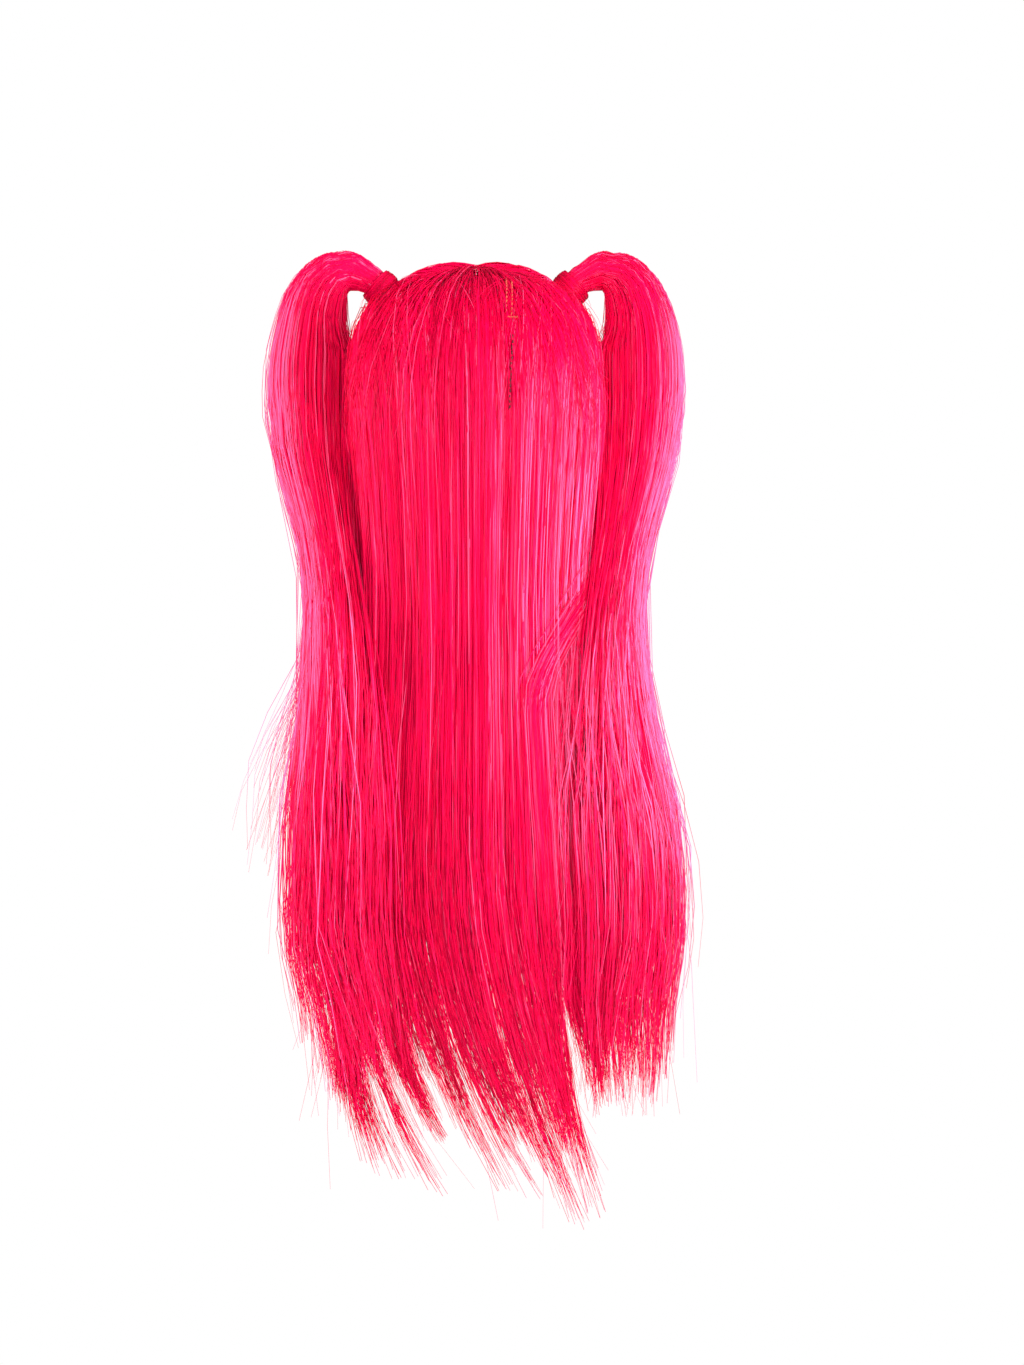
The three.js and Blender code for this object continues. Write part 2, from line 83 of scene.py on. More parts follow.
# Hair over the cap
SIDE_HAIR = 10.0
BACK_HAIR = 13.0
BACK_CROWN_HAIR = 2.0
FRONT_CROWN_HAIR = 14.0
FRONT_PART_HAIR = 11.0
FRONT_EDGE_HAIR = 5.0
HAIR_FULLNESS = 2.9
CROWN_FULLNESS = 3.8
PARTING_BACK = 14.0
PART_WIDTH = 1.2
HAIRLINE_INSET = 3.0
FALL_HALF_WIDTH = HEAD_HALF_WIDTH + CAP_WALL + SIDE_HAIR
FALL_REACH = HEAD_HALF_DEPTH + CAP_WALL + BACK_HAIR

# Ties
TIE_LEAN = math.radians(39)
TIE_STANDOFF = 19.0
TIE_AIM = math.radians(43)
TIE_LENGTH = 12.0
TIE_THICKNESS = 3.2
NECK_RADIUS = 8.5
NECK_OFFSET = -TIE_LENGTH / 2 - 0.4

# Pigtails
ARCH_REACH = 46.0
ARCH_RISE = 13.0
PIGTAIL_WIDTH = 51.0
PIGTAIL_DEPTH = 42.0
PIGTAIL_GAP = 1.0
PIGTAIL_DROP = 470.0

# Loose back hair
SHEET_DROP = 480.0
TIP_DROP = 593.0
SHEET_THICKNESS = 20.0
RIDGE_HEIGHT = 1.6
RIDGE_COUNT = 14
LOCK_ROOT = 0.78 * SHEET_DROP
BACK_CLUMPS = 60
BACK_TUFTS = 24
TAIL_CLUMPS = 40
FRONT_CLUMPS = 48
MIDDLE_TONE = 0.38  # the tone of most strands, before clumps, painted sheen and painted shade make it lighter or darker
HOOD_LENGTH = 160.0  # hair from the cross parting down to the head's widest level

# Sewn weft behind the crown
WEFT_LEAN = math.radians(-13)
WEFT_RUN = (48.0, 92.0)  # hair above its two ends
WEFT_WIDTH = 5.0


def table(columns, rows):
    """Rows of numbers as named columns; the first column is the one that is looked up."""
    return dict(zip(columns.split(), np.array(rows, dtype=float).T))


FRONT_ROWS = table("near rise drawn", [
    (0.0, 0.0, 0.0), (0.1, 0.55, 0.0), (0.28, 1.0, 0.0), (0.5, 1.0, 0.08),
    (0.7, 0.75, 0.28), (0.86, 0.4, 0.62), (1.0, 0.2, 1.0),
])
ARCH_ROWS = table("out up left right deep back", [
    (0.23, 0.64, 0.4, 0.4, 0.46, 0.0), (0.5, 0.92, 0.52, 0.52, 0.62, 0.01),
    (0.77, 0.42, 0.66, 0.66, 0.8, 0.03), (0.94, -0.75, 0.8, 0.8, 0.94, 0.06),
])
HANG_ROWS = table("down left right deep back", [
    (0.075, 0.88, 0.9, 1.0, 0.1), (0.13, 0.94, 0.94, 1.0, 0.17), (0.21, 0.91, 0.9, 0.98, 0.28),
    (0.3, 0.77, 0.74, 0.9, 0.42), (0.38, 0.64, 0.62, 0.8, 0.58), (0.46, 0.61, 0.58, 0.72, 0.73),
    (0.56, 0.64, 0.62, 0.64, 0.84), (0.68, 0.52, 0.74, 0.56, 0.88), (0.8, 0.5, 0.78, 0.5, 0.9),
    (0.9, 0.58, 0.76, 0.44, 0.92), (0.98, 0.4, 0.62, 0.34, 0.93),
])
TAIL_ENDS = {
    "left": table("start_down to start end bend back wide deep", [
        (0.52, 0.77, 0.12, 0.76, 0.75, -0.5, 0.4, 0.3), (0.6, 1.08, -0.12, -0.8, 1.9, 0.06, 0.66, 0.34),
        (0.62, 1.1, 0.0, -0.42, 1.9, 0.0, 0.64, 0.34), (0.6, 1.03, 0.08, 0.08, 1.7, 0.0, 0.56, 0.3),
    ]),
    "right": table("start_down to start end bend back wide deep", [
        (0.6, 1.08, -0.3, -0.42, 1.5, 0.1, 0.6, 0.34), (0.64, 1.11, 0.0, 0.04, 1.5, -0.02, 0.56, 0.32),
        (0.64, 1.08, 0.2, 0.28, 1.5, 0.0, 0.48, 0.3),
    ]),
}
TAIL_SHARES = {"left": (0.1, 0.34, 0.32, 0.24), "right": (0.34, 0.36, 0.3)}
LOCK_TAPER = table("along size", [(0.0, 0.8), (0.3, 1.0), (0.6, 0.86), (0.82, 0.6), (1.0, 0.3)])
FALL_ROWS = table("down left right back side thick", [
    (0.0, 1.0, 1.0, 1.0, 0.13, 1.0), (0.1, 0.95, 0.96, 1.0, 0.15, 1.0),
    (0.25, 0.89, 0.9, 0.97, 0.3, 1.05), (0.4, 0.9, 0.91, 0.93, 0.46, 1.1),
    (0.55, 0.97, 0.96, 0.92, 0.56, 1.05), (0.7, 1.0, 1.0, 0.92, 0.62, 0.9),
    (0.85, 1.03, 1.03, 0.93, 0.66, 0.65), (1.0, 1.04, 1.03, 0.94, 0.7, 0.3),
])
FALL_ENDS = table("root tip drop bend", [
    (-1.0, -1.0, 0.81, 1.4), (-0.8, -0.87, 0.84, 1.4), (-0.54, -0.74, 0.88, 1.6),
    (-0.35, -0.63, 0.91, 1.8), (-0.33, -0.55, 0.97, 1.8), (-0.06, -0.5, 1.0, 1.8),
    (0.14, -0.3, 0.955, 2.0), (0.34, -0.1, 0.975, 2.0), (0.54, 0.17, 0.95, 2.0),
    (0.76, 0.42, 0.955, 2.1), (0.9, 0.62, 0.9, 1.6), (1.0, 0.8, 0.86, 1.5),
])


# Forms that the hair follows


def lerp(start, end, share):
    """A value at a share of the way from start to end."""
    return start + (end - start) * share


def smooth(value, low=0.0, high=1.0):
    """0 below low, 1 above high, and a smooth rise between them."""
    share = np.clip((np.asarray(value, dtype=float) - low) / (high - low), 0, 1)
    return share * share * (3 - 2 * share)


def look_up(rows, column, value):
    """A column of a table, eased between its rows."""
    keys = next(iter(rows.values()))
    value = np.asarray(value, dtype=float)
    row = np.clip(np.searchsorted(keys, value) - 1, 0, len(keys) - 2)
    share = smooth((value - keys[row]) / (keys[row + 1] - keys[row]))
    return lerp(rows[column][row], rows[column][row + 1], share)


def xyz(x, y, z):
    """Points from their three coordinates, broadcast together."""
    return np.stack(np.broadcast_arrays(x, y, z), axis=-1).astype(float)


def on_form(direction, centre, size, fullness):
    """The point of a rounded form in a direction given in the form's own proportions."""
    fullness = np.asarray(fullness, dtype=float)
    total = (np.abs(direction) ** fullness[..., None]).sum(-1)
    return direction * size * (total ** (-1 / fullness))[..., None] + centre


def head_point(direction, lift):
    """The point over the head form in a direction from its centre."""
    return on_form(direction, HEAD_CENTRE, HEAD_SIZE + np.asarray(lift)[..., None], HEAD_FULLNESS)


def clear_of_head(points, lift=HAIR_LIFT):
    """Moves points that lie inside the head form straight out to its surface."""
    outward = points - HEAD_CENTRE
    level = (np.abs(outward / (HEAD_SIZE + lift)) ** HEAD_FULLNESS).sum(-1) ** (1 / HEAD_FULLNESS)
    grow = np.where(level < 1, 1 / np.maximum(level, 1e-3), 1.0)
    return HEAD_CENTRE + outward * grow[..., None]


def aim(azimuth, polar):
    """A direction from the head's centre: azimuth 0 is the forehead, polar 0 the crown."""
    return xyz(np.sin(azimuth) * np.sin(polar), -np.cos(azimuth) * np.sin(polar), np.cos(polar))


def rim_height(azimuth):
    """Height of the cap's edge at an azimuth."""
    return -lerp(HAIRLINE_DROP, NAPE_DROP, (1 - np.cos(azimuth)) / 2)


def rim_polar(azimuth, lift):
    """Polar angle at which the head form reaches the cap's edge."""
    low = np.zeros_like(azimuth)
    high = np.full_like(azimuth, math.pi)
    for _ in range(30):
        middle = (low + high) / 2
        above = head_point(aim(azimuth, middle), lift)[..., 2] > rim_height(azimuth)
        low = np.where(above, middle, low)
        high = np.where(above, high, middle)
    return low


def fall_share(height):
    """Share of the way from the head's widest level to the sheet's end."""
    return np.clip((-height - HEAD_RISE) / (SHEET_DROP - HEAD_RISE), 0, 1)


def fall_side(height, side):
    """Half width of the back hair on one side."""
    return FALL_HALF_WIDTH * look_up(FALL_ROWS, "left" if side > 0 else "right", fall_share(height))


def fall_thickness(height):
    """Thickness of the hanging sheet at a height."""
    return SHEET_THICKNESS * look_up(FALL_ROWS, "thick", fall_share(height))


def fall_point(turn, height, inward):
    """A point of the hanging back hair; turn is -90 degrees at the wearer's right."""
    share = fall_share(height)
    edge = np.maximum(FALL_REACH * look_up(FALL_ROWS, "side", share), PARTING_BACK)
    wide = np.where(turn > 0, look_up(FALL_ROWS, "left", share), look_up(FALL_ROWS, "right", share))
    deep = FALL_REACH * look_up(FALL_ROWS, "back", share) - edge
    size = xyz(FALL_HALF_WIDTH * wide, deep, 1.0) - np.asarray(inward)[..., None]
    size[..., 1] = np.maximum(size[..., 1], 2.0)
    point = on_form(xyz(np.sin(turn), np.cos(turn), 0.0), xyz(0.0, edge, 0.0), size, HAIR_FULLNESS)
    point[..., 2] = height
    return point


def hood_point(turn, tilt, inward):
    """A point of the hair over the back of the cap; tilt 0 is the cross parting."""
    direction = xyz(np.sin(turn), np.cos(turn) * np.sin(tilt), np.cos(turn) * np.cos(tilt))
    rise = HEAD_RISE + CAP_WALL + BACK_CROWN_HAIR
    size = np.array([FALL_HALF_WIDTH, FALL_REACH - PARTING_BACK, rise])
    centre = np.array([0.0, PARTING_BACK, -HEAD_RISE])
    fullness = lerp(CROWN_FULLNESS, HAIR_FULLNESS, np.sin(tilt))
    return on_form(direction, centre, size - np.asarray(inward)[..., None], fullness)


def ridge(turn, grown):
    """How far the ridges of the back hair stand out."""
    waves = np.cos(RIDGE_COUNT * turn + 0.6) + 0.6 * np.cos(RIDGE_COUNT * 1.7 * turn + 2.1)
    return RIDGE_HEIGHT * grown * waves * np.sqrt(np.clip(np.cos(turn), 0, 1))


def back_point(turn, length, inward):
    """A point of the back hair at a length of hair below the cross parting."""
    tilt = np.clip(length / HOOD_LENGTH, 0, 1) * QUARTER
    inward = inward - ridge(turn, smooth(tilt, 0.1, QUARTER))
    hood = hood_point(turn, tilt, inward)
    hung = fall_point(turn, -HEAD_RISE - np.maximum(length - HOOD_LENGTH, 0), inward)
    return np.where((length < HOOD_LENGTH)[..., None], hood, hung)


def tie_frame(side):
    """A tie's middle, the way the hair runs through it, and two directions square to that."""
    to_tie = np.array([side * math.sin(TIE_LEAN), 0.0, math.cos(TIE_LEAN)])
    centre = head_point(to_tie, CAP_WALL) + to_tie * TIE_STANDOFF
    along = np.array([side * math.cos(TIE_AIM), 0.0, math.sin(TIE_AIM)])
    across = np.array([0.0, 1.0, 0.0])
    upward = np.array([-side * math.sin(TIE_AIM), 0.0, math.cos(TIE_AIM)])
    return centre, along, across, upward


def neck_point(side, turn, radius, offset):
    """A point round the neck of a pigtail, offset along the tie."""
    centre, along, across, upward = tie_frame(side)
    offset, radius, turn = (np.asarray(v, dtype=float)[..., None] for v in (offset, radius, turn))
    return centre + along * offset + radius * (across * np.sin(turn) + upward * np.cos(turn))


def combed(side, turn, angle):
    """The direction reached by combing from the tie; turn 0 is towards the centre part."""
    sin_lean, cos_lean = math.sin(TIE_LEAN), math.cos(TIE_LEAN)
    to_tie, to_part = np.cos(angle), np.sin(angle) * np.cos(turn)
    return xyz(
        side * (sin_lean * to_tie - cos_lean * to_part),
        np.sin(angle) * np.sin(turn),
        cos_lean * to_tie + sin_lean * to_part,
    )


def on_front(direction, side):
    """Whether a direction meets the part of the cap that a front section covers."""
    point = head_point(direction, CAP_WALL)
    azimuth = np.arctan2(direction[..., 0], -direction[..., 1])
    beside_part = side * point[..., 0] > PART_WIDTH / 2
    before_parting = point[..., 1] < PARTING_BACK - 0.4
    return beside_part & before_parting & (point[..., 2] > rim_height(azimuth) + HAIRLINE_INSET)


def front_reaches(side, turn):
    """How far from the tie, as an angle, a front section's roots lie."""
    angles = np.radians(np.arange(0, 180, 2.0))
    inside = on_front(combed(side, turn[:, None], angles[None, :]), side)
    first_out = np.argmin(inside, axis=1)
    low, high = angles[first_out - 1], angles[first_out]
    for _ in range(12):
        middle = (low + high) / 2
        still_on = on_front(combed(side, turn, middle), side)
        low = np.where(still_on, middle, low)
        high = np.where(still_on, high, middle)
    return low


def front_point(side, turn, near, reach, above):
    """A point of a front section: near is 0 at its roots and 1 at the neck of the tie."""
    direction = combed(side, turn, reach * (1 - near))
    full_hair = lerp(SIDE_HAIR, FRONT_CROWN_HAIR, np.clip(direction[..., 2], 0, 1))
    edge_hair = lerp(FRONT_EDGE_HAIR, FRONT_PART_HAIR, np.maximum(np.cos(turn), 0) ** 2)
    lift = CAP_WALL + lerp(edge_hair, full_hair, look_up(FRONT_ROWS, "rise", near)) + above
    lift = np.maximum(lift, HAIR_LIFT)
    drawn = look_up(FRONT_ROWS, "drawn", near)[..., None]
    neck = neck_point(side, turn, NECK_RADIUS + np.minimum(above, 0), NECK_OFFSET)
    return lerp(head_point(direction, lift), neck, drawn)


class TailRun:
    """The run of one pigtail, from inside its tie down to its tips, by length of hair."""

    def __init__(self, side_name):
        side = 1 if side_name == "left" else -1
        self.side = side
        self.ends = TAIL_ENDS[side_name]
        centre, along, _, _ = tie_frame(side)
        wide_arch = ARCH_ROWS[side_name] * PIGTAIL_WIDTH / 2
        wide_hang = HANG_ROWS[side_name] * PIGTAIL_WIDTH / 2
        heights = -PIGTAIL_DROP * HANG_ROWS["down"]
        arch = xyz(
            centre[0] + side * ARCH_REACH * ARCH_ROWS["out"],
            FALL_REACH * ARCH_ROWS["back"],
            centre[2] + ARCH_RISE * ARCH_ROWS["up"],
        )
        beside = fall_side(heights, side) + PIGTAIL_GAP + wide_hang * 1.05
        hang = xyz(side * beside, FALL_REACH * HANG_ROWS["back"], heights)
        below = hang[-1] - np.array([[0.0, 0.0, 30.0], [0.0, 0.0, 75.0]])
        neck = centre + along * np.array([[-TIE_LENGTH / 2], [0.0], [TIE_LENGTH / 2 + 0.4]])
        middles = np.concatenate([neck, arch, hang, below])
        ends = (wide_hang[-1] * 0.9, wide_hang[-1] * 0.8)
        wide = np.concatenate([[NECK_RADIUS] * 3, wide_arch, wide_hang, ends])
        deep_rows = np.concatenate([ARCH_ROWS["deep"], HANG_ROWS["deep"], [0.3, 0.26]])
        deep = np.concatenate([[NECK_RADIUS] * 3, deep_rows * PIGTAIL_DEPTH / 2])
        self._set_run(np.column_stack([middles, wide, deep]))

    def _set_run(self, rows):
        smoothed = through_rows(rows, 12)
        self.middle, self.wide, self.deep = smoothed[:, :3], smoothed[:, 3], smoothed[:, 4]
        steps = np.linalg.norm(np.diff(self.middle, axis=0), axis=1)
        self.length = np.concatenate([[0.0], np.cumsum(steps)])
        tangent = np.gradient(self.middle, self.length, axis=0)
        tangent /= np.linalg.norm(tangent, axis=1)[:, None]
        across = np.array([0.0, 1.0, 0.0]) - tangent * tangent[:, 1:2]
        across /= np.linalg.norm(across, axis=1)[:, None]
        self.across = across
        self.outward = -self.side * np.cross(across, tangent)

    def read(self, values, length):
        """A value of the run at a length of hair."""
        if values.ndim == 1:
            return np.interp(length, self.length, values)
        columns = [np.interp(length, self.length, values[:, i]) for i in range(values.shape[1])]
        return np.stack(columns, axis=-1)

    def length_at(self, height):
        """The length of hair at which the hanging part reaches a height."""
        top = int(np.argmax(self.middle[:, 2]))
        return np.interp(-height, -self.middle[top:, 2], self.length[top:])

    def point(self, length, angle, share):
        """A point of the pigtail's body; share is 0 in its middle and 1 on its outside."""
        wide = self.read(self.wide, length) * share * np.cos(angle)
        deep = self.read(self.deep, length) * share * np.sin(angle)
        outward, across = self.read(self.outward, length), self.read(self.across, length)
        return self.read(self.middle, length) + outward * wide[..., None] + across * deep[..., None]

    def end_point(self, end, height, across, deep):
        """A point of one of the loose ends that the pigtail turns into."""
        row = {name: column[end] for name, column in self.ends.items()}
        along = (-height / PIGTAIL_DROP - row["start_down"]) / (row["to"] - row["start_down"])
        along = np.clip(along, 0, 1.1)
        size = look_up(LOCK_TAPER, "size", np.minimum(along, 1))
        length = self.length_at(height)
        x = self.read(self.middle[:, 0], length)
        y = self.read(self.middle[:, 1], length)
        swing = PIGTAIL_WIDTH * lerp(row["start"], row["end"], along ** row["bend"])
        x = x + self.side * swing + PIGTAIL_WIDTH / 2 * row["wide"] * size * across
        y = y + PIGTAIL_DEPTH * (row["back"] * along + 0.5 * row["deep"] * size * deep)
        return xyz(x, y, height)


def through_rows(rows, steps):
    """A smooth run through rows of numbers, which passes each row."""
    padded = np.concatenate([2 * rows[:1] - rows[1:2], rows, 2 * rows[-1:] - rows[-2:-1]])
    made = []
    for before, start, end, after in zip(padded, padded[1:], padded[2:], padded[3:]):
        share = np.linspace(0, 1, steps, endpoint=False)[:, None]
        pull_start, pull_end = (end - before) / 2, (after - start) / 2
        made.append(
            (2 * share**3 - 3 * share**2 + 1) * start
            + (share**3 - 2 * share**2 + share) * pull_start
            + (-2 * share**3 + 3 * share**2) * end
            + (share**3 - share**2) * pull_end
        )
    return np.concatenate([*made, rows[-1:]])


# Settings that a user would change


class WigColours(bpy.types.PropertyGroup):
    """Colours of the hair, ties, cap and thread."""

    hair: bpy.props.FloatVectorProperty(
        name="Hair", description="Main colour of the strands", subtype="COLOR", size=3,
        min=0, max=1, default=(0.95, 0.001, 0.076),
    )
    # colour of the palest strands, and of the painted sheen on the back hair and pigtails
    hair_light: bpy.props.FloatVectorProperty(
        name="Light strands", description="Colour of the palest strands", subtype="COLOR", size=3,
        min=0, max=1, default=(1.0, 0.12, 0.31),
    )
    # colour of the darkest strands, and of the painted shade on the back hair and pigtails
    hair_deep: bpy.props.FloatVectorProperty(
        name="Deep strands", description="Colour of the darkest strands", subtype="COLOR", size=3,
        min=0, max=1, default=(0.5, 0.0004, 0.026),
    )
    tie: bpy.props.FloatVectorProperty(
        name="Tie", description="Colour of the wrapped ties", subtype="COLOR", size=3,
        min=0, max=1, default=(0.5, 0.001, 0.03),
    )
    net: bpy.props.FloatVectorProperty(
        name="Cap net", description="Colour of the knitted cap", subtype="COLOR", size=3,
        min=0, max=1, default=(0.42, 0.006, 0.06),
    )
    thread: bpy.props.FloatVectorProperty(
        name="Thread", description="Colour of the stitches", subtype="COLOR", size=3,
        min=0, max=1, default=(0.68, 0.1, 0.06),
    )


class StrandSettings(bpy.types.PropertyGroup):
    """How many strands there are and how they hang."""

    strand_width: bpy.props.FloatProperty(
        name="Strand width", description="Width of one made strand at its middle",
        default=0.00076, min=0.0001, max=0.003, subtype="DISTANCE", unit="LENGTH",
    )
    back_count: bpy.props.IntProperty(
        name="Back strands", description="Strands on the outside of the loose back hair",
        default=3600, min=10, max=4000,
    )
    under_count: bpy.props.IntProperty(
        name="Under strands", description="Strands under and inside the loose back hair",
        default=2300, min=10, max=2800,
    )
    tail_count: bpy.props.IntProperty(
        name="Pigtail strands", description="Strands in each pigtail",
        default=1150, min=10, max=1900,
    )
    front_count: bpy.props.IntProperty(
        name="Front strands", description="Strands in each front section",
        default=740, min=10, max=3000,
    )
    loose_share: bpy.props.FloatProperty(
        name="Loose share", description="Share of the strands that hang apart from the rest",
        default=0.09, min=0, max=0.3, subtype="FACTOR",
    )


class CapSettings(bpy.types.PropertyGroup):
    """Sizes of the knitted cap's sewing."""

    hem_width: bpy.props.FloatProperty(
        name="Hem width", description="Width of the rolled edge of the cap",
        default=0.0034, min=0.001, max=0.01, subtype="DISTANCE", unit="LENGTH",
    )
    weft_rows: bpy.props.IntProperty(
        name="Weft rows", description="Rows of weft sewn round the cap", default=9, min=1, max=20,
    )
    stitch_length: bpy.props.FloatProperty(
        name="Stitch length", description="Length of one stitch",
        default=0.0034, min=0.001, max=0.01, subtype="DISTANCE", unit="LENGTH",
    )


class StageSettings(bpy.types.PropertyGroup):
    """Light and camera."""

    key_power: bpy.props.FloatProperty(
        name="Key light", description="Power of the light behind the wearer, at the camera's right",
        default=36, min=0, max=500, unit="POWER",
    )
    side_power: bpy.props.FloatProperty(
        name="Side lights", description="Power of each of the two lights beside the wearer",
        default=74, min=0, max=500, unit="POWER",
    )
    fill_power: bpy.props.FloatProperty(
        name="Fill light",
        description="Power of the wide soft light near the camera; the front light has 0.8 of it",
        default=52, min=0, max=500, unit="POWER",
    )
    ambient: bpy.props.FloatProperty(
        name="Ambient", description="Strength of the even studio light", default=0.46, min=0, max=5,
    )
    camera_distance: bpy.props.FloatProperty(
        name="Camera distance", description="Distance from the camera to the wig's middle",
        default=2.5, min=0.5, max=20, subtype="DISTANCE", unit="LENGTH",
    )
    frame_height: bpy.props.FloatProperty(
        name="Frame height", description="Height that the frame shows at the wig's middle",
        default=0.901, min=0.1, max=5, subtype="DISTANCE", unit="LENGTH",
    )


# Materials

SHEEN_TINT = (1, 0.35, 0.9, 1)  # keeps the sheen along the strands pink


def new_material(name, **inputs):
    """A node material with its shader's inputs set by name."""
    material = bpy.data.materials.new(name)
    material.use_nodes = True
    nodes = material.node_tree.nodes
    shader = nodes["Principled BSDF"]
    for key, value in inputs.items():
        shader.inputs[key.replace("_", " ")].default_value = value
    return material, nodes, material.node_tree.links, shader


def add_node(nodes, kind, **settings):
    """A node with its properties and, by socket name, its unlinked inputs set."""
    node = nodes.new(kind)
    for name, value in settings.items():
        if name.startswith("in_"):
            node.inputs[name[3:].replace("_", " ")].default_value = value
        else:
            setattr(node, name, value)
    return node


def wire(links, *runs):
    """Links nodes; each run is a node, its output, the next node and its input."""
    for start, output, end, taker in runs:
        links.new(start.outputs[output], end.inputs[taker])


def colour_by(made, texture, output, stops, **relief):
    """Colours a material from a texture through a ramp, and uses it as relief if that is given."""
    _, nodes, links, shader = made
    ramp = nodes.new("ShaderNodeValToRGB")
    elements = ramp.color_ramp.elements
    while len(elements) < len(stops):
        elements.new(0.5)
    for element, (place, colour) in zip(elements, stops):
        element.position = place
        element.color = (*colour[:3], 1)
    wire(links, (texture, output, ramp, "Fac"), (ramp, "Color", shader, "Base Color"))
    if relief:
        bump = add_node(nodes, "ShaderNodeBump", **relief)
        wire(links, (texture, output, bump, "Height"), (bump, "Normal", shader, "Normal"))


def strand_material(colours, name="Loose hair", roughness=0.36, gloss=0.18):
    """Glossy fibre whose colour goes from strand to strand and along each one, with the painted sheen
    and painted shade that the tone attribute carries.
    """
    if name in bpy.data.materials:
        return bpy.data.materials[name]
    made = new_material(
        name, Roughness=roughness, Specular_IOR_Level=gloss, Specular_Tint=SHEEN_TINT
    )
    material, nodes, links, _ = made
    # tone holds each strand's own tone, plus painted sheen and painted shade
    tone = add_node(nodes, "ShaderNodeAttribute", attribute_name="tone")
    place = nodes.new("ShaderNodeTexCoord")
    stretch = add_node(nodes, "ShaderNodeMapping", in_Scale=(260, 260, 9))
    streaks = add_node(nodes, "ShaderNodeTexNoise", in_Scale=1.0, in_Detail=2.0)
    mix = add_node(nodes, "ShaderNodeMath", operation="MULTIPLY_ADD")
    mix.inputs[1].default_value = 0.34
    wire(
        links, (place, "Object", stretch, "Vector"), (stretch, "Vector", streaks, "Vector"),
        (streaks, "Fac", mix, 0), (tone, "Fac", mix, 2),
    )
    colour_by(made, mix, "Value", [
        (0.12, colours.hair_deep), (0.5, colours.hair), (0.78, colours.hair), (1.0, colours.hair_light),
    ])
    return material


def packed_material(colours):
    """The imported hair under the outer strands: combed streaks in colour and relief."""
    name = "Packed hair"
    if name in bpy.data.materials:
        return bpy.data.materials[name]
    made = new_material(
        name, Roughness=0.6, Specular_IOR_Level=0.2, Specular_Tint=SHEEN_TINT
    )
    material, nodes, links, _ = made
    place = add_node(nodes, "ShaderNodeUVMap", uv_map="comb")
    stretch = add_node(nodes, "ShaderNodeMapping", in_Scale=(900, 6, 1))
    streaks = add_node(nodes, "ShaderNodeTexNoise", in_Scale=1.0, in_Detail=3.0)
    wire(links, (place, "UV", stretch, "Vector"), (stretch, "Vector", streaks, "Vector"))
    stops = [(0.3, colours.hair_deep), (0.62, colours.hair), (0.9, colours.hair_light)]
    colour_by(made, streaks, "Fac", stops, in_Strength=0.6, in_Distance=0.0012)
    return material


def net_material(colours):
    """Knitted elastic net: small loops, with painted shade that darkens the holes between them."""
    made = new_material("Cap net", Roughness=0.85, Sheen_Weight=0.2)
    material, nodes, links, _ = made
    place = add_node(nodes, "ShaderNodeUVMap", uv_map="comb")
    loops = add_node(
        nodes, "ShaderNodeTexVoronoi", feature="DISTANCE_TO_EDGE", in_Scale=420.0, in_Randomness=0.35
    )
    wire(links, (place, "UV", loops, "Vector"))
    # the middles of the cells, the holes, are painted darker: painted shade
    stops = [(0.0, colours.net), (0.1, colours.net), (0.3, tuple(0.3 * c for c in colours.net))]
    colour_by(made, loops, "Distance", stops, in_Strength=0.8, in_Distance=0.0006, invert=True)
    return material


def thread_material(name, base):
    """Twisted sewing thread or woven tape of one colour, a little uneven."""
    if name in bpy.data.materials:
        return bpy.data.materials[name]
    made = new_material(name, Roughness=0.65)
    material, nodes, links, _ = made
    place = nodes.new("ShaderNodeTexCoord")
    fibres = add_node(nodes, "ShaderNodeTexNoise", in_Scale=1400.0, in_Detail=2.0)
    wire(links, (place, "Object", fibres, "Vector"))
    stops = [(0.3, tuple(0.55 * c for c in base)), (0.65, base)]
    colour_by(made, fibres, "Fac", stops, in_Strength=0.5, in_Distance=0.0003)
    return material


# Meshes


def finish_piece(mesh, name, nodes=()):
    """Links a mesh as a piece that rides with the wig and stands for CAD nodes."""
    piece = bpy.data.objects.new(name, mesh)
    bpy.context.scene.collection.objects.link(piece)
    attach(piece, "root")
    if nodes:
        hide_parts(*nodes)
    return piece


def strand_tree():
    """Tubes along a mesh's edges, as wide as each point says, with closed ends."""
    if "Strand tubes" in bpy.data.node_groups:
        return bpy.data.node_groups["Strand tubes"]
    tree = bpy.data.node_groups.new("Strand tubes", "GeometryNodeTree")
    for name, kind, default in (
        ("Geometry", "Geometry", None), ("Sides", "Int", 3),
        ("Strand width", "Float", 0.001), ("Material", "Material", None),
    ):
        socket = tree.interface.new_socket(name, in_out="INPUT", socket_type=f"NodeSocket{kind}")
        if default is not None:
            socket.default_value = default
    tree.interface.new_socket("Geometry", in_out="OUTPUT", socket_type="NodeSocketGeometry")
    nodes = tree.nodes
    given = nodes.new("NodeGroupInput")
    result = nodes.new("NodeGroupOutput")
    curves = nodes.new("GeometryNodeMeshToCurve")
    profile = add_node(nodes, "GeometryNodeCurvePrimitiveCircle", in_Radius=0.5)
    swell = add_node(nodes, "GeometryNodeInputNamedAttribute", data_type="FLOAT", in_Name="swell")
    widen = add_node(nodes, "ShaderNodeMath", operation="MULTIPLY")
    tubes = add_node(nodes, "GeometryNodeCurveToMesh", in_Fill_Caps=True)
    shade = nodes.new("GeometryNodeSetShadeSmooth")
    realize = nodes.new("GeometryNodeRealizeInstances")
    paint = nodes.new("GeometryNodeSetMaterial")
    wire(
        tree.links,
        (given, "Geometry", curves, "Mesh"), (given, "Sides", profile, "Resolution"),
        (swell, "Attribute", widen, 0), (given, "Strand width", widen, 1),
        (curves, "Curve", tubes, "Curve"), (profile, "Curve", tubes, "Profile Curve"),
        (widen, "Value", tubes, "Scale"), (tubes, "Mesh", shade, "Geometry"),
        (shade, "Geometry", realize, "Geometry"), (realize, "Geometry", paint, "Geometry"),
        (given, "Material", paint, "Material"), (paint, "Geometry", result, "Geometry"),
    )
    return tree


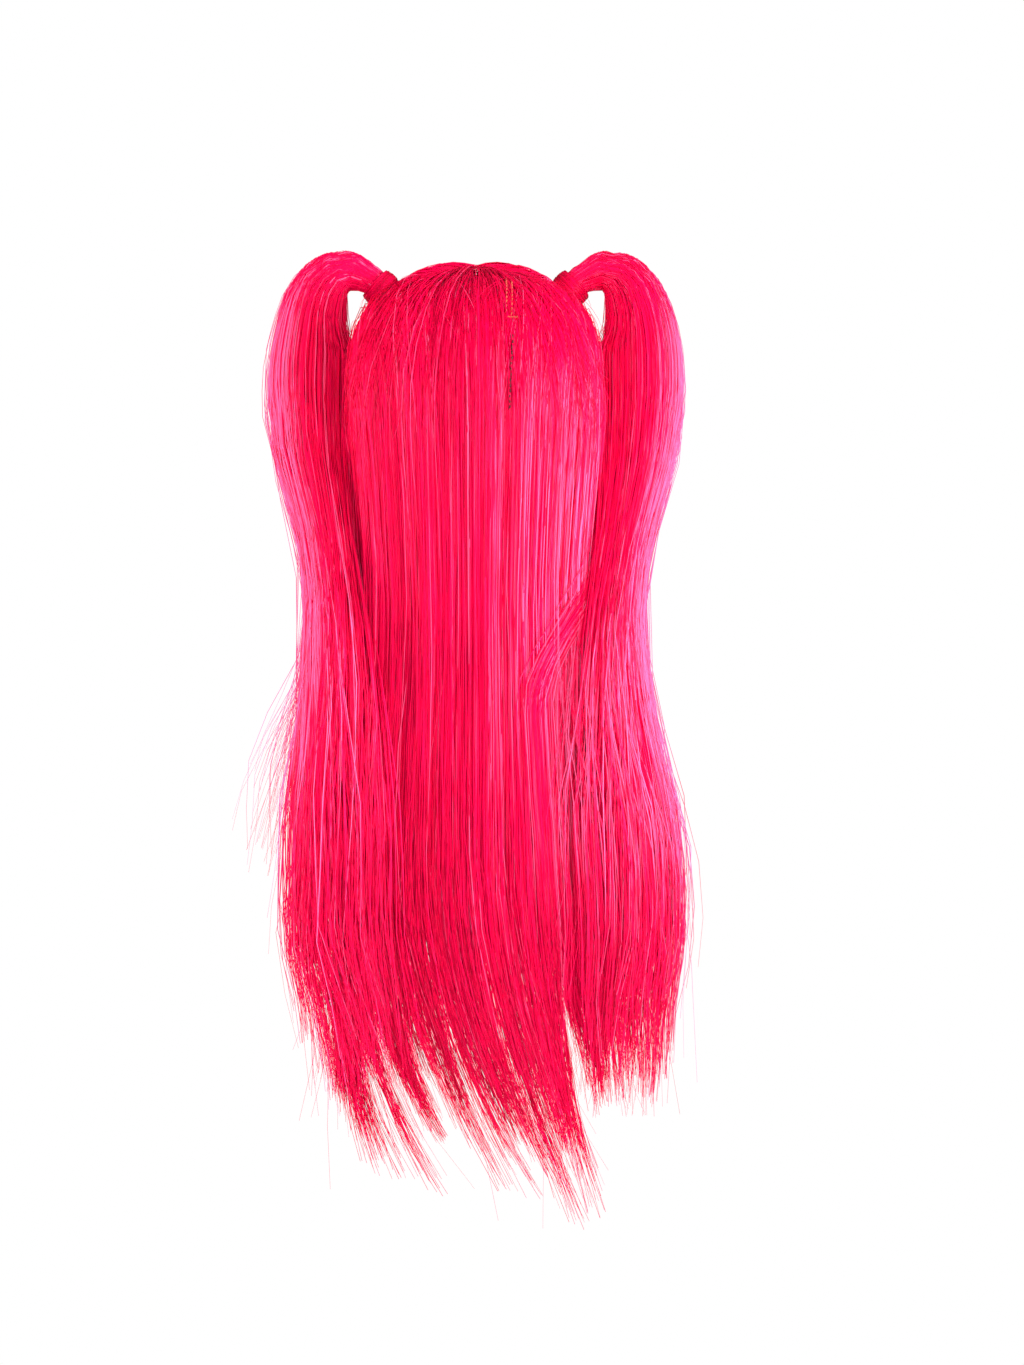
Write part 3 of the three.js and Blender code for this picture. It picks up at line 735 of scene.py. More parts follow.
def apply_tree(mesh, tree, name, **inputs):
    """The plain mesh that a geometry tree makes of a mesh, its inputs given by name."""
    holder = bpy.data.objects.new(name, mesh)
    bpy.context.scene.collection.objects.link(holder)
    modifier = holder.modifiers.new("Tree", "NODES")
    modifier.node_group = tree
    for item in tree.interface.items_tree:
        key = item.name.lower().replace(" ", "_")
        if item.item_type == "SOCKET" and item.in_out == "INPUT" and key in inputs:
            modifier[item.identifier] = inputs[key]
    graph = bpy.context.evaluated_depsgraph_get()
    made = bpy.data.meshes.new_from_object(
        holder.evaluated_get(graph), preserve_all_data_layers=True, depsgraph=graph
    )
    made.name = name
    bpy.data.objects.remove(holder)
    bpy.data.meshes.remove(mesh)
    return made


def polylines(name, points, swell, tone, closed):
    """A mesh of open or closed lines, from points in millimetres: (lines, points, xyz)."""
    lines, count, _ = points.shape
    mesh = bpy.data.meshes.new(name)
    mesh.vertices.add(lines * count)
    mesh.vertices.foreach_set("co", (points * MM).astype(np.float32).ravel())
    index = np.arange(lines * count).reshape(lines, count)
    pairs = np.stack([index, np.roll(index, -1, axis=1)], axis=-1)
    pairs = pairs if closed else pairs[:, :-1]
    mesh.edges.add(pairs.size // 2)
    mesh.edges.foreach_set("vertices", pairs.astype(np.int32).ravel())
    for key, values in (("swell", swell), ("tone", tone)):
        every = np.broadcast_to(values, (lines, count)).astype(np.float32)
        mesh.attributes.new(key, "FLOAT", "POINT").data.foreach_set("value", every.ravel())
    mesh.update()
    return mesh


def tubes(name, points, swell, tone, width, material, sides=3, closed=False):
    """Strands, threads or cords as one plain mesh of tubes."""
    mesh = polylines(name, points, swell, tone, closed)
    return apply_tree(
        mesh, strand_tree(), name, sides=sides, strand_width=width, material=material
    )


def closed_mesh(name, points, faces, material):
    """A smooth closed mesh from points in millimetres, turned the right way out."""
    mesh = bpy.data.meshes.new(name)
    mesh.from_pydata((points * MM).tolist(), [], faces)
    mesh.polygons.foreach_set("use_smooth", np.ones(len(mesh.polygons), dtype=bool))
    mesh.materials.append(material)
    mesh.update()
    mesh.calc_loop_triangles()
    corners = np.empty(len(mesh.loop_triangles) * 3, dtype=np.int32)
    mesh.loop_triangles.foreach_get("vertices", corners)
    a, b, c = points[corners.reshape(-1, 3)].transpose(1, 0, 2)
    if np.einsum("ij,ij->i", a, np.cross(b, c)).sum() < 0:
        mesh.flip_normals()
    return mesh


def ring_end(ring, centre, flat):
    """Faces that close a ring: across it if it is a flat strip, and else round its centre."""
    count = len(ring)
    if flat:
        return [(ring[i], ring[i + 1], ring[count - 2 - i], ring[count - 1 - i])
                for i in range(count // 2 - 1)]
    return [(ring[i], ring[(i + 1) % count], centre) for i in range(count)]


def grid_shell(name, rings, material, comb=None, flat=False):
    """A closed skin through rings of points in millimetres.

    A flat ring runs out along one side of a strip and back along the other.
    """
    rows, count, _ = rings.shape
    ends = [] if flat else [rings[0].mean(axis=0), rings[-1].mean(axis=0)]
    points = np.concatenate([rings.reshape(-1, 3), np.reshape(ends, (-1, 3))])
    index = np.arange(rows * count).reshape(rows, count)
    after = np.roll(index, -1, axis=1)
    quads = np.stack([index[:-1], after[:-1], after[1:], index[1:]], axis=-1).reshape(-1, 4)
    first = [face[::-1] for face in ring_end(index[0], rows * count, flat)]
    last = ring_end(index[-1], rows * count + 1, flat)
    mesh = closed_mesh(name, points, [*quads.tolist(), *first, *last], material)
    across = np.arange(rows * count) % count / count
    along = np.arange(rows * count) // count / (rows - 1)
    place = np.column_stack([across, along]) if comb is None else comb.reshape(-1, 2)
    place = np.concatenate([place, place[:1], place[-1:]])[: len(points)]
    corners = np.empty(len(mesh.loops), dtype=np.int32)
    mesh.loops.foreach_get("vertex_index", corners)
    uv = place[corners].astype(np.float32)
    mesh.uv_layers.new(name="comb").data.foreach_set("uv", uv.ravel())
    return mesh


# How strands lie


def nearest(centres, places):
    """The index of the centre that lies nearest each place, for centres in rising order."""
    after = np.clip(np.searchsorted(centres, places), 1, len(centres) - 1)
    return after - (places - centres[after - 1] < centres[after] - places)


def scattered(rng, low, high, count):
    """Unevenly spaced places between two ends, in rising order."""
    step = (high - low) / count
    return np.sort(low + step * (np.arange(count) + 0.5 + rng.uniform(-0.42, 0.42, count)))


def each(rng, low, high, count):
    """One even draw for each strand, as a column."""
    return rng.uniform(low, high, (count, 1))


def waves(rng, lines, knots, height, rounds, power=2.0):
    """Slow sideways waves that grow towards the tips."""
    phase = each(rng, 0, FULL_TURN, lines)
    pace = each(rng, *rounds, lines) * FULL_TURN
    tall = rng.gamma(2.0, height / 2, (lines, 1))
    return tall * knots[None, :] ** power * np.sin(pace * knots[None, :] + phase)


def spread(rng, *shape):
    """Scatter about zero, without far outliers."""
    return np.clip(rng.normal(0, 1, shape), -1.7, 1.7)


def strand_swell(rng, lines, knots, tip=0.38):
    """Thickness along strands: full from near the root, drawn out to a fine tip."""
    along = 1 - (1 - tip) * smooth(knots, 0.7, 1.0)
    return each(rng, 0.75, 1.2, lines) * along[None, :]


def strand_tone(rng, clump):
    """How light each strand is, partly by clump, with a few dark ones."""
    by_clump = rng.normal(0, 0.07, clump.max() + 1)[clump]
    dark = 0.3 * (rng.random(len(clump)) < 0.12)
    tone = MIDDLE_TONE + by_clump - dark + rng.normal(0, 0.18, len(clump))
    return np.clip(tone, 0.02, 0.98)[:, None]


def one_clump(count):
    """The clump of each strand of a lock that is not parted into clumps."""
    return np.zeros(count, dtype=int)


def strayed(rng, loose, knots, amount):
    """How far loose strands stand off along their length, in slow bends."""
    pace = each(rng, 0.7, 2.2, len(loose)) * FULL_TURN
    phase = each(rng, 0, FULL_TURN, len(loose))
    tall = amount * each(rng, 0.2, 1.0, len(loose)) * loose[:, None]
    return tall * (0.5 - 0.5 * np.cos(pace * knots[None, :] + phase))


def back_painted_light(place, length, share):
    """Painted light on the back hair: a painted sheen band on its right, and painted shade that darkens
    its left and its lower part.
    """
    # painted sheen: a paler band on the wearer's right, from below the crown to the lower part, on the
    # outer strands
    band = 0.5 * np.exp(-(((place + 0.62) / 0.36) ** 2)) * np.clip(1.2 - 1.5 * share, 0, 1)
    paler = band * smooth(length, 80, 170) * (1 - smooth(length, 350, 480))
    # painted shade: darker towards the wearer's left and towards the bottom
    return paler - (0.02 + 0.1 * place + 0.1 * smooth(length, 330, 480))


def back_strands(rng, count, root, knots, shares, loose_share, edge_share=0.0, dim=1.0):
    """Strands of the loose back hair, as points by strand and knot.

    root is the shortest and longest hair above a strand's start, shares the range of its depth as
    a share of the sheet's thickness, and edge_share the share of strands along the two side edges.
    """
    place = rng.uniform(-1, 1, count)
    at_edge = rng.random(count) < edge_share
    place = np.where(at_edge, np.sign(place) * rng.uniform(0.95, 1.0, count), place)
    clumps = scattered(rng, -1.02, 1.02, BACK_CLUMPS)
    clump = nearest(clumps, place)
    off_middle = np.clip((place - clumps[clump]) * BACK_CLUMPS, -1, 1)
    tufts = scattered(rng, -1.0, 1.0, BACK_TUFTS)
    tuft = nearest(tufts, place)
    ends = {key: np.interp(tufts[tuft], FALL_ENDS["root"], FALL_ENDS[key]) for key in FALL_ENDS}
    tuft_length = rng.uniform(0.88, 1.03, BACK_TUFTS)[tuft]
    tuft_shift = 0.03 * spread(rng, BACK_TUFTS)[tuft]
    loose = rng.random(count) < loose_share
    reach = np.where(loose, rng.uniform(0.6, 1.08, count), 0.42 + 0.62 * rng.beta(2.6, 1.2, count))
    tip = LOCK_ROOT + (TIP_DROP * ends["drop"] * tuft_length - LOCK_ROOT) * reach
    start = rng.uniform(*root, count)
    total = HOOD_LENGTH + tip - HEAD_RISE
    length = lerp(start[:, None], total[:, None], knots[None, :])
    height = -HEAD_RISE - np.maximum(length - HOOD_LENGTH, 0)
    along = np.clip((-height - LOCK_ROOT) / (TIP_DROP * ends["drop"] - LOCK_ROOT)[:, None], 0, 1.1)

    fan_start = rng.uniform(0.62, 0.86, BACK_CLUMPS)[clump] + rng.uniform(-0.05, 0.05, count)
    fan = lerp(fan_start[:, None], 1.0, smooth(length, 0, 130))
    aslant = 0.03 * spread(rng, count) * np.where(loose, 2.5, 1.0)
    pulled = (clumps[clump] - place)[:, None] * lerp(0.1, 0.4, smooth(length, 60, 420))
    sweep = (ends["tip"] - tufts[tuft] + tuft_shift)[:, None] * along ** ends["bend"][:, None]
    gather = (tufts[tuft] - place)[:, None] * 0.85 * along**1.6
    slant = aslant[:, None] * (1 - smooth(length, 0, 180))
    turn = ((place[:, None] + pulled) * fan + slant + sweep + gather) * QUARTER
    turn = turn + np.radians(waves(rng, count, knots, 0.7, (1.2, 3.0), 1.0))

    share = rng.uniform(*shares, count)[:, None]
    mound = rng.uniform(0, 0.9, BACK_CLUMPS)[clump][:, None] * np.exp(-(((length - 18) / 17) ** 2))
    bulge = 1.1 * (1 - off_middle[:, None] ** 2) * smooth(length, 60, 260) + mound
    inward = share * np.where(length < HOOD_LENGTH, 6.0, fall_thickness(height)) - bulge + 0.8
    inward = inward - strayed(rng, loose, knots, 3.5) + 4.0 * (1 - smooth(length, -3, 10))
    points = back_point(np.clip(turn, -1.03 * QUARTER, 1.03 * QUARTER), length, inward)
    drift = spread(rng, count, 2) * np.where(loose[:, None], (17.0, 8.0), (3.4, 3.0))
    stray = np.where(loose, 2.6, 1.0)[:, None]
    for axis in (0, 1):
        points[..., axis] += drift[:, axis, None] * along**2.5
        points[..., axis] += stray * waves(rng, count, knots, 2.0, (0.8, 2.4))
    swell = strand_swell(rng, count, knots) * np.where(loose, 0.6, 1.0)[:, None]
    # the tone also carries the back hair's painted sheen and painted shade
    tone = strand_tone(rng, clump) + back_painted_light(place[:, None], length, share)
    # dim darkens a whole layer of strands: painted shade for strands that lie inside the hair
    return clear_of_head(points), swell, tone * dim


def crossing_lock(rng, count):
    """A loose lock that leaves the right edge of the back hair and curves over it to the middle."""
    knots = np.linspace(0, 1, 16)
    across = rng.normal(0, 0.05, (count, 1))
    length = lerp(each(rng, 185, 215, count), each(rng, 430, 520, count), knots)
    swing = smooth(length, 200, 330)
    place = lerp(-0.86, -0.3, swing) + across * lerp(1.3, 0.7, swing)
    place = place - 0.05 * smooth(length, 330, 520)
    lift = -2.2 * np.sin(math.pi * np.clip(knots * 1.05, 0, 1))[None, :] + each(rng, -0.5, 1.6, count)
    points = back_point(place * QUARTER, length, lift + 6.0 * (1 - smooth(knots, 0, 0.15)))
    points[..., 0] += waves(rng, count, knots, 1.2, (0.8, 1.8))
    # the lock is 0.28 paler than other strands: a painted sheen along it
    return points, strand_swell(rng, count, knots), strand_tone(rng, one_clump(count)) + 0.28


def crown_fan(rng, count):
    """Strands that rise out of the centre part's end and fan out over the back of the crown."""
    knots = np.linspace(0, 1, 12)
    length = lerp(0.0, each(rng, 110, 300, count), knots**1.25)
    reach = each(rng, -0.8, 0.8, count)
    root = reach * 0.2 + rng.normal(0, 0.02, (count, 1))
    place = lerp(root, reach, smooth(length, 0, 150))
    rise = 8.5 * np.exp(-((root / 0.11) ** 2)) * each(rng, 0.2, 1.0, count)
    over = rise * (1 - smooth(length, 0, 60)) + each(rng, 0.2, 1.4, count)
    points = back_point(place * QUARTER, length, 3.0 * smooth(knots, 0.8, 1) - over)
    points[..., 1] -= 2.0 * (1 - smooth(length, 0, 12))
    points[..., 0] += waves(rng, count, knots, 0.9, (0.8, 1.8))
    swell = strand_swell(rng, count, knots) * each(rng, 0.5, 0.85, count)
    return clear_of_head(points), swell, strand_tone(rng, one_clump(count))


def flyaways(rng, count):
    """Short fine hairs that stand off the crown in loose bends."""
    knots = np.linspace(0, 1, 9)
    start = each(rng, 2, 130, count)
    length = start + each(rng, 20, 60, count) * knots
    bend = rng.normal(0, 0.13, (count, 1)) * knots + rng.normal(0, 0.1, (count, 1)) * knots**2
    place = np.clip(each(rng, -0.97, 0.97, count) + bend, -1.05, 1.05)
    rise = each(rng, 1.5, 6.0, count) * np.sin(each(rng, 1.4, 3.0, count) * knots)
    points = back_point(place * QUARTER, length, 1.0 - rise)
    swell = strand_swell(rng, count, knots) * 0.34
    return points, swell, strand_tone(rng, one_clump(count)) + 0.1


def tail_painted_light(side, angle, clump, height):
    """Painted light on a pigtail: a painted sheen on its outer half and on the right one's lower locks,
    a painted lift against its shade all over, and painted shade low down.
    """
    # painted sheen on the outer half, which fades out low down
    pale = smooth(-height, -15, 50) * (1 - 0.7 * smooth(-height, 260, 370))
    outside = 0.57 * np.maximum(np.cos(angle), 0)[:, None] * pale
    # 0.08 is a painted lift against the shade on the inner side; the last term is painted shade towards
    # the bottom
    tone = 0.08 + outside - 0.14 * smooth(-height, 290, 420)
    if side < 0:
        # painted sheen on the right pigtail's lower locks, stronger on some clumps than others
        lower_sheen = smooth(-height, 190, 270) * (1 - smooth(-height, 340, 440))
        tone = tone + (0.22 + 0.2 * np.sin(7.0 * clump))[:, None] * lower_sheen
    return tone


def tail_strands(rng, run, shares, count, knots, loose_share):
    """Strands of one pigtail, from inside the tie to its loose ends."""
    end = rng.choice(len(shares), count, p=shares)
    angle = rng.uniform(0, FULL_TURN, count)
    clumps = scattered(rng, -0.1, FULL_TURN + 0.1, TAIL_CLUMPS)
    clump = nearest(clumps, angle)
    loose = rng.random(count) < loose_share
    outer = rng.random(count) < 0.8
    share = np.where(outer, rng.uniform(0.88, 1.03, count), rng.uniform(0.3, 0.88, count))
    share = np.where(loose, rng.uniform(0.98, 1.06, count), share)[:, None]
    row = {name: column[end] for name, column in run.ends.items()}
    fine = row["back"] < -0.2  # the wispy end that leaves the pigtail's outer side
    apart = loose | fine
    reach = np.where(apart, rng.uniform(0.5, 1.2, count), 0.42 + 0.62 * rng.beta(2.6, 1.3, count))
    tip = -PIGTAIL_DROP * lerp(row["start_down"], row["to"], reach)
    length = run.length_at(tip)[:, None] * knots[None, :]
    height = run.read(run.middle[:, 2], length)

    grown = smooth(length, 20, 120)
    share = lerp(np.minimum(share, 1.0), share + strayed(rng, loose, knots, 0.3), grown)
    pulled = (clumps[clump] - angle)[:, None] * 0.3 * knots[None, :]
    body = run.point(length, angle[:, None] + pulled + 0.25 * knots[None, :], share)
    scatter = np.where(fine, 0.9, 0.45)
    by_clump = spread(rng, TAIL_CLUMPS)[clump] + 0.35 * spread(rng, count)
    across = (np.cos(angle) + scatter * np.where(fine, spread(rng, count), by_clump))[:, None]
    deep = (np.sin(angle) + 0.35 * spread(rng, count))[:, None]
    in_end = run.end_point(end[:, None], height, across * run.side, deep)
    top = row["start_down"][:, None] * PIGTAIL_DROP
    hanging = length > run.length_at(-60.0)
    joined = np.where(hanging, smooth(-height, top - 40, top + 70), 0)
    joined = joined * each(rng, 0.55, 1.0, count)
    points = lerp(body, in_end, joined[..., None])

    stray = np.where(loose, 3.0, 1.0)[:, None] * grown
    drift = spread(rng, count, 2) * np.where(apart[:, None], (12.0, 7.0), (2.4, 3.0))
    for axis in (0, 1):
        points[..., axis] += stray * waves(rng, count, knots, 1.5, (0.8, 2.6))
        points[..., axis] += drift[:, axis, None] * smooth(knots, 0.66, 1.1)[None, :] ** 1.5
    towards_sheet = np.clip(-np.cos(angle), 0, 1)[:, None] * smooth(-height, 20, 46)
    beside_head = smooth(-height, 28, 48) * (1 - smooth(-height, 100, 160))
    closer = 3.6 + 4.6 * beside_head + 4.5 * smooth(-height, 200, 300)
    points[..., 0] -= run.side * towards_sheet * closer
    over = (rng.uniform(0, 1, count) * (rng.random(count) < 0.22))[:, None]
    over = over * smooth(-height, 130, 330)
    points[..., 0] -= run.side * 20.0 * over
    points[..., 1] += 7.0 * over
    swell = strand_swell(rng, count, knots) * np.where(apart, 0.6, 1.0)[:, None]
    # the tone also carries the pigtail's painted sheen and painted shade
    return points, swell, strand_tone(rng, clump) + tail_painted_light(run.side, angle, clump, height)


def front_strands(rng, side, count, knots):
    """Strands of one front section, from their roots on the cap to the neck of the tie."""
    turns = np.linspace(0, FULL_TURN, 361)
    reaches = front_reaches(side, turns)
    turn = rng.uniform(0, FULL_TURN, count)
    clumps = scattered(rng, -0.1, FULL_TURN + 0.1, FRONT_CLUMPS)
    clump = nearest(clumps, turn)
    pulled = (clumps[clump] - turn)[:, None] * 0.3 * knots[None, :]
    wavy = 0.012 * waves(rng, count, knots * (1 - knots) * 4, 1.0, (0.6, 1.6))
    drawn = turn[:, None] + pulled + wavy
    at_edge = rng.random(count) < 0.5
    root = np.where(at_edge, rng.uniform(0, 0.025, count), rng.beta(0.9, 2.0, count) * 0.7)
    in_part = (rng.random(count) < 0.4) & (np.cos(turn) > 0.5)
    root = np.where(in_part, 0.0, root)
    under = np.where(in_part, rng.uniform(-11, 0.5, count), rng.uniform(-2.0, 0.8, count))[:, None]
    near = lerp(root[:, None], 1.0, knots[None, :])
    reach = np.interp(np.mod(drawn, FULL_TURN), turns, reaches)
    dive = -6.0 * (1 - smooth(knots, 0.0, 0.12))[None, :] * ~at_edge[:, None]
    points = clear_of_head(front_point(side, drawn, near, reach, under + dive))
    back_limit = PARTING_BACK - 0.4 - each(rng, 0, 1.4, count)
    points[..., 1] = np.minimum(points[..., 1], back_limit)
    points[..., 0] -= side * each(rng, 0, 2.4, count) * (1 - smooth(near, 0, 0.14))
    points[..., 0] = side * np.maximum(side * points[..., 0], each(rng, -1.3, 0.6, count))
    return points, strand_swell(rng, count, knots, 0.8), strand_tone(rng, clump)


# Pieces


class WIG_OT_cap(bpy.types.Operator):
    """Makes the knitted cap with its rolled hem and rows of sewn weft"""

    bl_idname = "wig.cap"
    bl_label = "Cap"

    def execute(self, context):
        settings, colours = context.scene.wig_cap, context.scene.wig_colours
        azimuth = np.linspace(0, FULL_TURN, 144, endpoint=False)
        shares = np.linspace(0.02, 1, 34)
        outer_edge, inner_edge = rim_polar(azimuth, CAP_WALL), rim_polar(azimuth, 0.0)
        outer = [head_point(aim(azimuth, outer_edge * share), CAP_WALL) for share in shares]
        inner = [head_point(aim(azimuth, inner_edge * share), 0.0) for share in shares[::-1]]
        rings = np.array([*outer, *inner])
        spread = np.concatenate([shares, shares[::-1]])[:, None]
        comb = np.stack([spread * np.sin(azimuth), spread * np.cos(azimuth)], axis=-1) * 0.13
        mesh = grid_shell("cap_net", rings, net_material(colours), comb)
        cap = finish_piece(mesh, "cap_net", ["cap"])
        hem = self.hem(azimuth, settings, colours)
        wefts = self.wefts(settings, colours)
        for piece in (hem, wefts):
            piece.parent = cap
        return {"FINISHED"}

    def hem(self, azimuth, settings, colours):
        """The rolled edge round the cap."""
        polar = rim_polar(azimuth, CAP_WALL / 2) - 0.012
        line = head_point(aim(azimuth, polar), CAP_WALL / 2)[None]
        tape = thread_material("Hem tape", colours.net)
        mesh = tubes("cap_hem", line, 1.0, 0.5, settings.hem_width, tape, sides=10, closed=True)
        return finish_piece(mesh, "cap_hem")

    def wefts(self, settings, colours):
        """Rows of weft sewn round the back of the cap, seen from inside it."""
        azimuth = np.radians(np.linspace(62, 298, 60))
        lines = []
        for share in np.linspace(0.34, 0.94, settings.weft_rows):
            edge = rim_polar(azimuth, 0.0) * share
            lines.append(head_point(aim(azimuth, edge), -0.35))
        tape = thread_material("Weft tape", colours.tie)
        mesh = tubes("cap_wefts", np.array(lines), 1.0, 0.5, 0.0016, tape, sides=6)
        return finish_piece(mesh, "cap_wefts")


class WIG_OT_back_hair(bpy.types.Operator):
    """Makes the loose back hair: packed hair on the cap, under strands and outer strands"""

    bl_idname = "wig.back_hair"
    bl_label = "Back hair"

    def execute(self, context):
        strands, colours = context.scene.wig_strands, context.scene.wig_colours
        hair = strand_material(colours)
        finish_piece(self.packed(colours), "back_hair_packed", ["back_hair"])
        crown_knots = np.concatenate([
            np.linspace(0, 0.25, 7), [0.35, 0.46, 0.57, 0.66, 0.74, 0.82, 0.88, 0.94, 1.0],
        ])
        low_knots = np.array([0.0, 0.07, 0.15, 0.26, 0.38, 0.5, 0.61, 0.71, 0.8, 0.88, 0.94, 1.0])
        loose = strands.loose_share
        outer = (strands.back_count // 2, (-4.0, 6.0), crown_knots, (0.0, 0.34), loose)
        # the last value, 0.8, darkens the under strands: painted shade inside the hair
        under = (strands.under_count, (150.0, 200.0), low_knots, (0.2, 1.15), loose, 0.25, 0.8)
        steps = (
            ("back_hair_outer_a", back_strands, outer), ("back_hair_outer_b", back_strands, outer),
            ("back_hair_under", back_strands, under), ("back_hair_crossing", crossing_lock, (150,)),
            ("back_hair_crown_fan", crown_fan, (230,)), ("back_hair_flyaways", flyaways, (90,)),
        )
        for seed, (name, lay, given) in enumerate(steps, 11):
            lines = lay(np.random.default_rng(seed), *given)
            finish_piece(tubes(name, *lines, strands.strand_width, hair), name)
        return {"FINISHED"}

    def packed(self, colours):
        """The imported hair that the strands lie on, closed, and ending in short tongues."""
        turn = np.linspace(-QUARTER, QUARTER, 150)
        lengths = np.concatenate([np.linspace(3, HOOD_LENGTH, 20), np.linspace(175, 490, 26)])
        rings = []
        for length in lengths:
            drop = np.full_like(turn, length)
            tongue = 12 * (np.cos(21 * turn + 1.0) + 0.6 * np.cos(47 * turn))
            drop = drop + tongue * smooth(length, 380, 490)
            height = -HEAD_RISE - np.maximum(drop - HOOD_LENGTH, 0)
            thick = fall_thickness(height) * (1 - 0.5 * smooth(length, 330, 490))
            outer = 2.0 + 2.5 * smooth(length, 330, 490)
            outside = back_point(0.985 * turn, drop, outer)
            inside = back_point(0.985 * turn, drop, np.maximum(thick - 2.0, outer + 0.8))
            rings.append(np.concatenate([outside, inside[::-1]]))
        rings = clear_of_head(np.array(rings))
        return grid_shell("back_hair_packed", rings, packed_material(colours), flat=True)


class WIG_OT_weft_seam(bpy.types.Operator):
    """Makes the strip of sewn weft behind the crown, its stitches and the painted shadow in the gap
    below it
    """

    bl_idname = "wig.weft_seam"
    bl_label = "Weft seam"

    def execute(self, context):
        colours = context.scene.wig_colours
        count = 9
        turns = WEFT_LEAN + np.linspace(-1, 1, count) * WEFT_WIDTH / 2 / FALL_HALF_WIDTH
        crown = 0.5 * np.cos(np.linspace(-1, 1, count) * QUARTER)
        rings = []
        for length in np.linspace(*WEFT_RUN, 40):
            outside = back_point(turns, np.full(count, length), 0.5 - crown)
            inside = back_point(turns[::-1], np.full(count, length), 1.4)
            rings.append(np.concatenate([outside, inside]))
        strip = grid_shell("weft_strip", np.array(rings), strand_material(colours), flat=True)
        strip = finish_piece(strip, "weft_strip", ["weft_seam"])
        for piece in (self.stitches(context), self.gap(colours)):
            piece.parent = strip
        return {"FINISHED"}

    def stitches(self, context):
        """Two rows of small stitches down the weft and a few that run off its lower end."""
        step = context.scene.wig_cap.stitch_length / MM
        top, low = WEFT_RUN
        aside = WEFT_WIDTH * 0.3 / FALL_HALF_WIDTH
        hump = np.array([0.4, -0.5, -0.8, -0.5, 0.4])
        dash = np.linspace(0, 0.5, 5) * step
        lines = []
        for row, begin in ((1, top + 7), (-1, top + 7 + step / 2)):
            for start in np.arange(begin, low - 3, step):
                turn = np.full(5, WEFT_LEAN + row * aside)
                lines.append(back_point(turn, start + dash, hump))
        for turn in WEFT_LEAN + aside * np.array([0.6, -0.4, -1.4, -2.4]):
            lines.append(back_point(turn - dash / FALL_HALF_WIDTH, np.full(5, low - 1.5), hump))
        thread = thread_material("Stitch thread", context.scene.wig_colours.thread)
        mesh = tubes("weft_stitches", np.array(lines), 1.0, 0.5, 0.0008, thread, sides=6)
        return finish_piece(mesh, "weft_stitches")

    def gap(self, colours):
        """Dark threads that paint the shadow in the slit where the weft runs on under the hair."""
        lines = []
        for start in np.arange(WEFT_RUN[1] + 9, WEFT_RUN[1] + 52, 3.1):
            place = start + np.linspace(0, 2.6, 5)
            lean = WEFT_LEAN - 0.03 + 0.002 * np.sin(place * 0.7)
            lines.append(back_point(lean, place, np.array([0.2, -0.9, -1.2, -0.9, 0.2])))
        shade = thread_material("Weft shadow", tuple(0.2 * c for c in colours.tie))
        mesh = tubes("weft_gap", np.array(lines), 1.0, 0.5, 0.0011, shade, sides=6)
        return finish_piece(mesh, "weft_gap")


class WIG_OT_fronts(bpy.types.Operator):
    """Makes the two front sections that sweep up from the hairline and the part to the ties"""

    bl_idname = "wig.fronts"
    bl_label = "Front sections"

    def execute(self, context):
        strands, colours = context.scene.wig_strands, context.scene.wig_colours
        hair = strand_material(colours)
        knots = np.array([0.0, 0.1, 0.22, 0.34, 0.46, 0.58, 0.7, 0.8, 0.9, 1.0])
        for side, name, seed in ((1, "left", 21), (-1, "right", 22)):
            packed = finish_piece(
                self.packed(side, name, colours), f"front_{name}_packed", [f"front_{name}"]
            )
            rng = np.random.default_rng(seed)
            points, swell, tone = front_strands(rng, side, strands.front_count, knots)
            mesh = tubes(f"front_{name}_strands", points, swell, tone, strands.strand_width, hair)
            finish_piece(mesh, f"front_{name}_strands").parent = packed
        return {"FINISHED"}

    def packed(self, side, name, colours):
        """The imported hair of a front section, closed against the cap."""
        turn = np.linspace(0, FULL_TURN, 120, endpoint=False)
        reach = front_reaches(side, turn)
        inner = [
            head_point(combed(side, turn, reach * share), HAIR_LIFT) for share in (0.1, 0.4, 0.7, 0.97)
        ]
        outer = [
            front_point(side, turn, np.full_like(turn, near), reach, -1.6)
            for near in np.linspace(0.03, 1.0, 26)
        ]
        rings = clear_of_head(np.array([*inner, *outer]))
        rings[..., 1] = np.minimum(rings[..., 1], PARTING_BACK - 1.6)
        rings[..., 0] = side * np.maximum(side * rings[..., 0], PART_WIDTH / 2 + 0.2)
        return grid_shell(f"front_{name}_packed", rings, packed_material(colours))


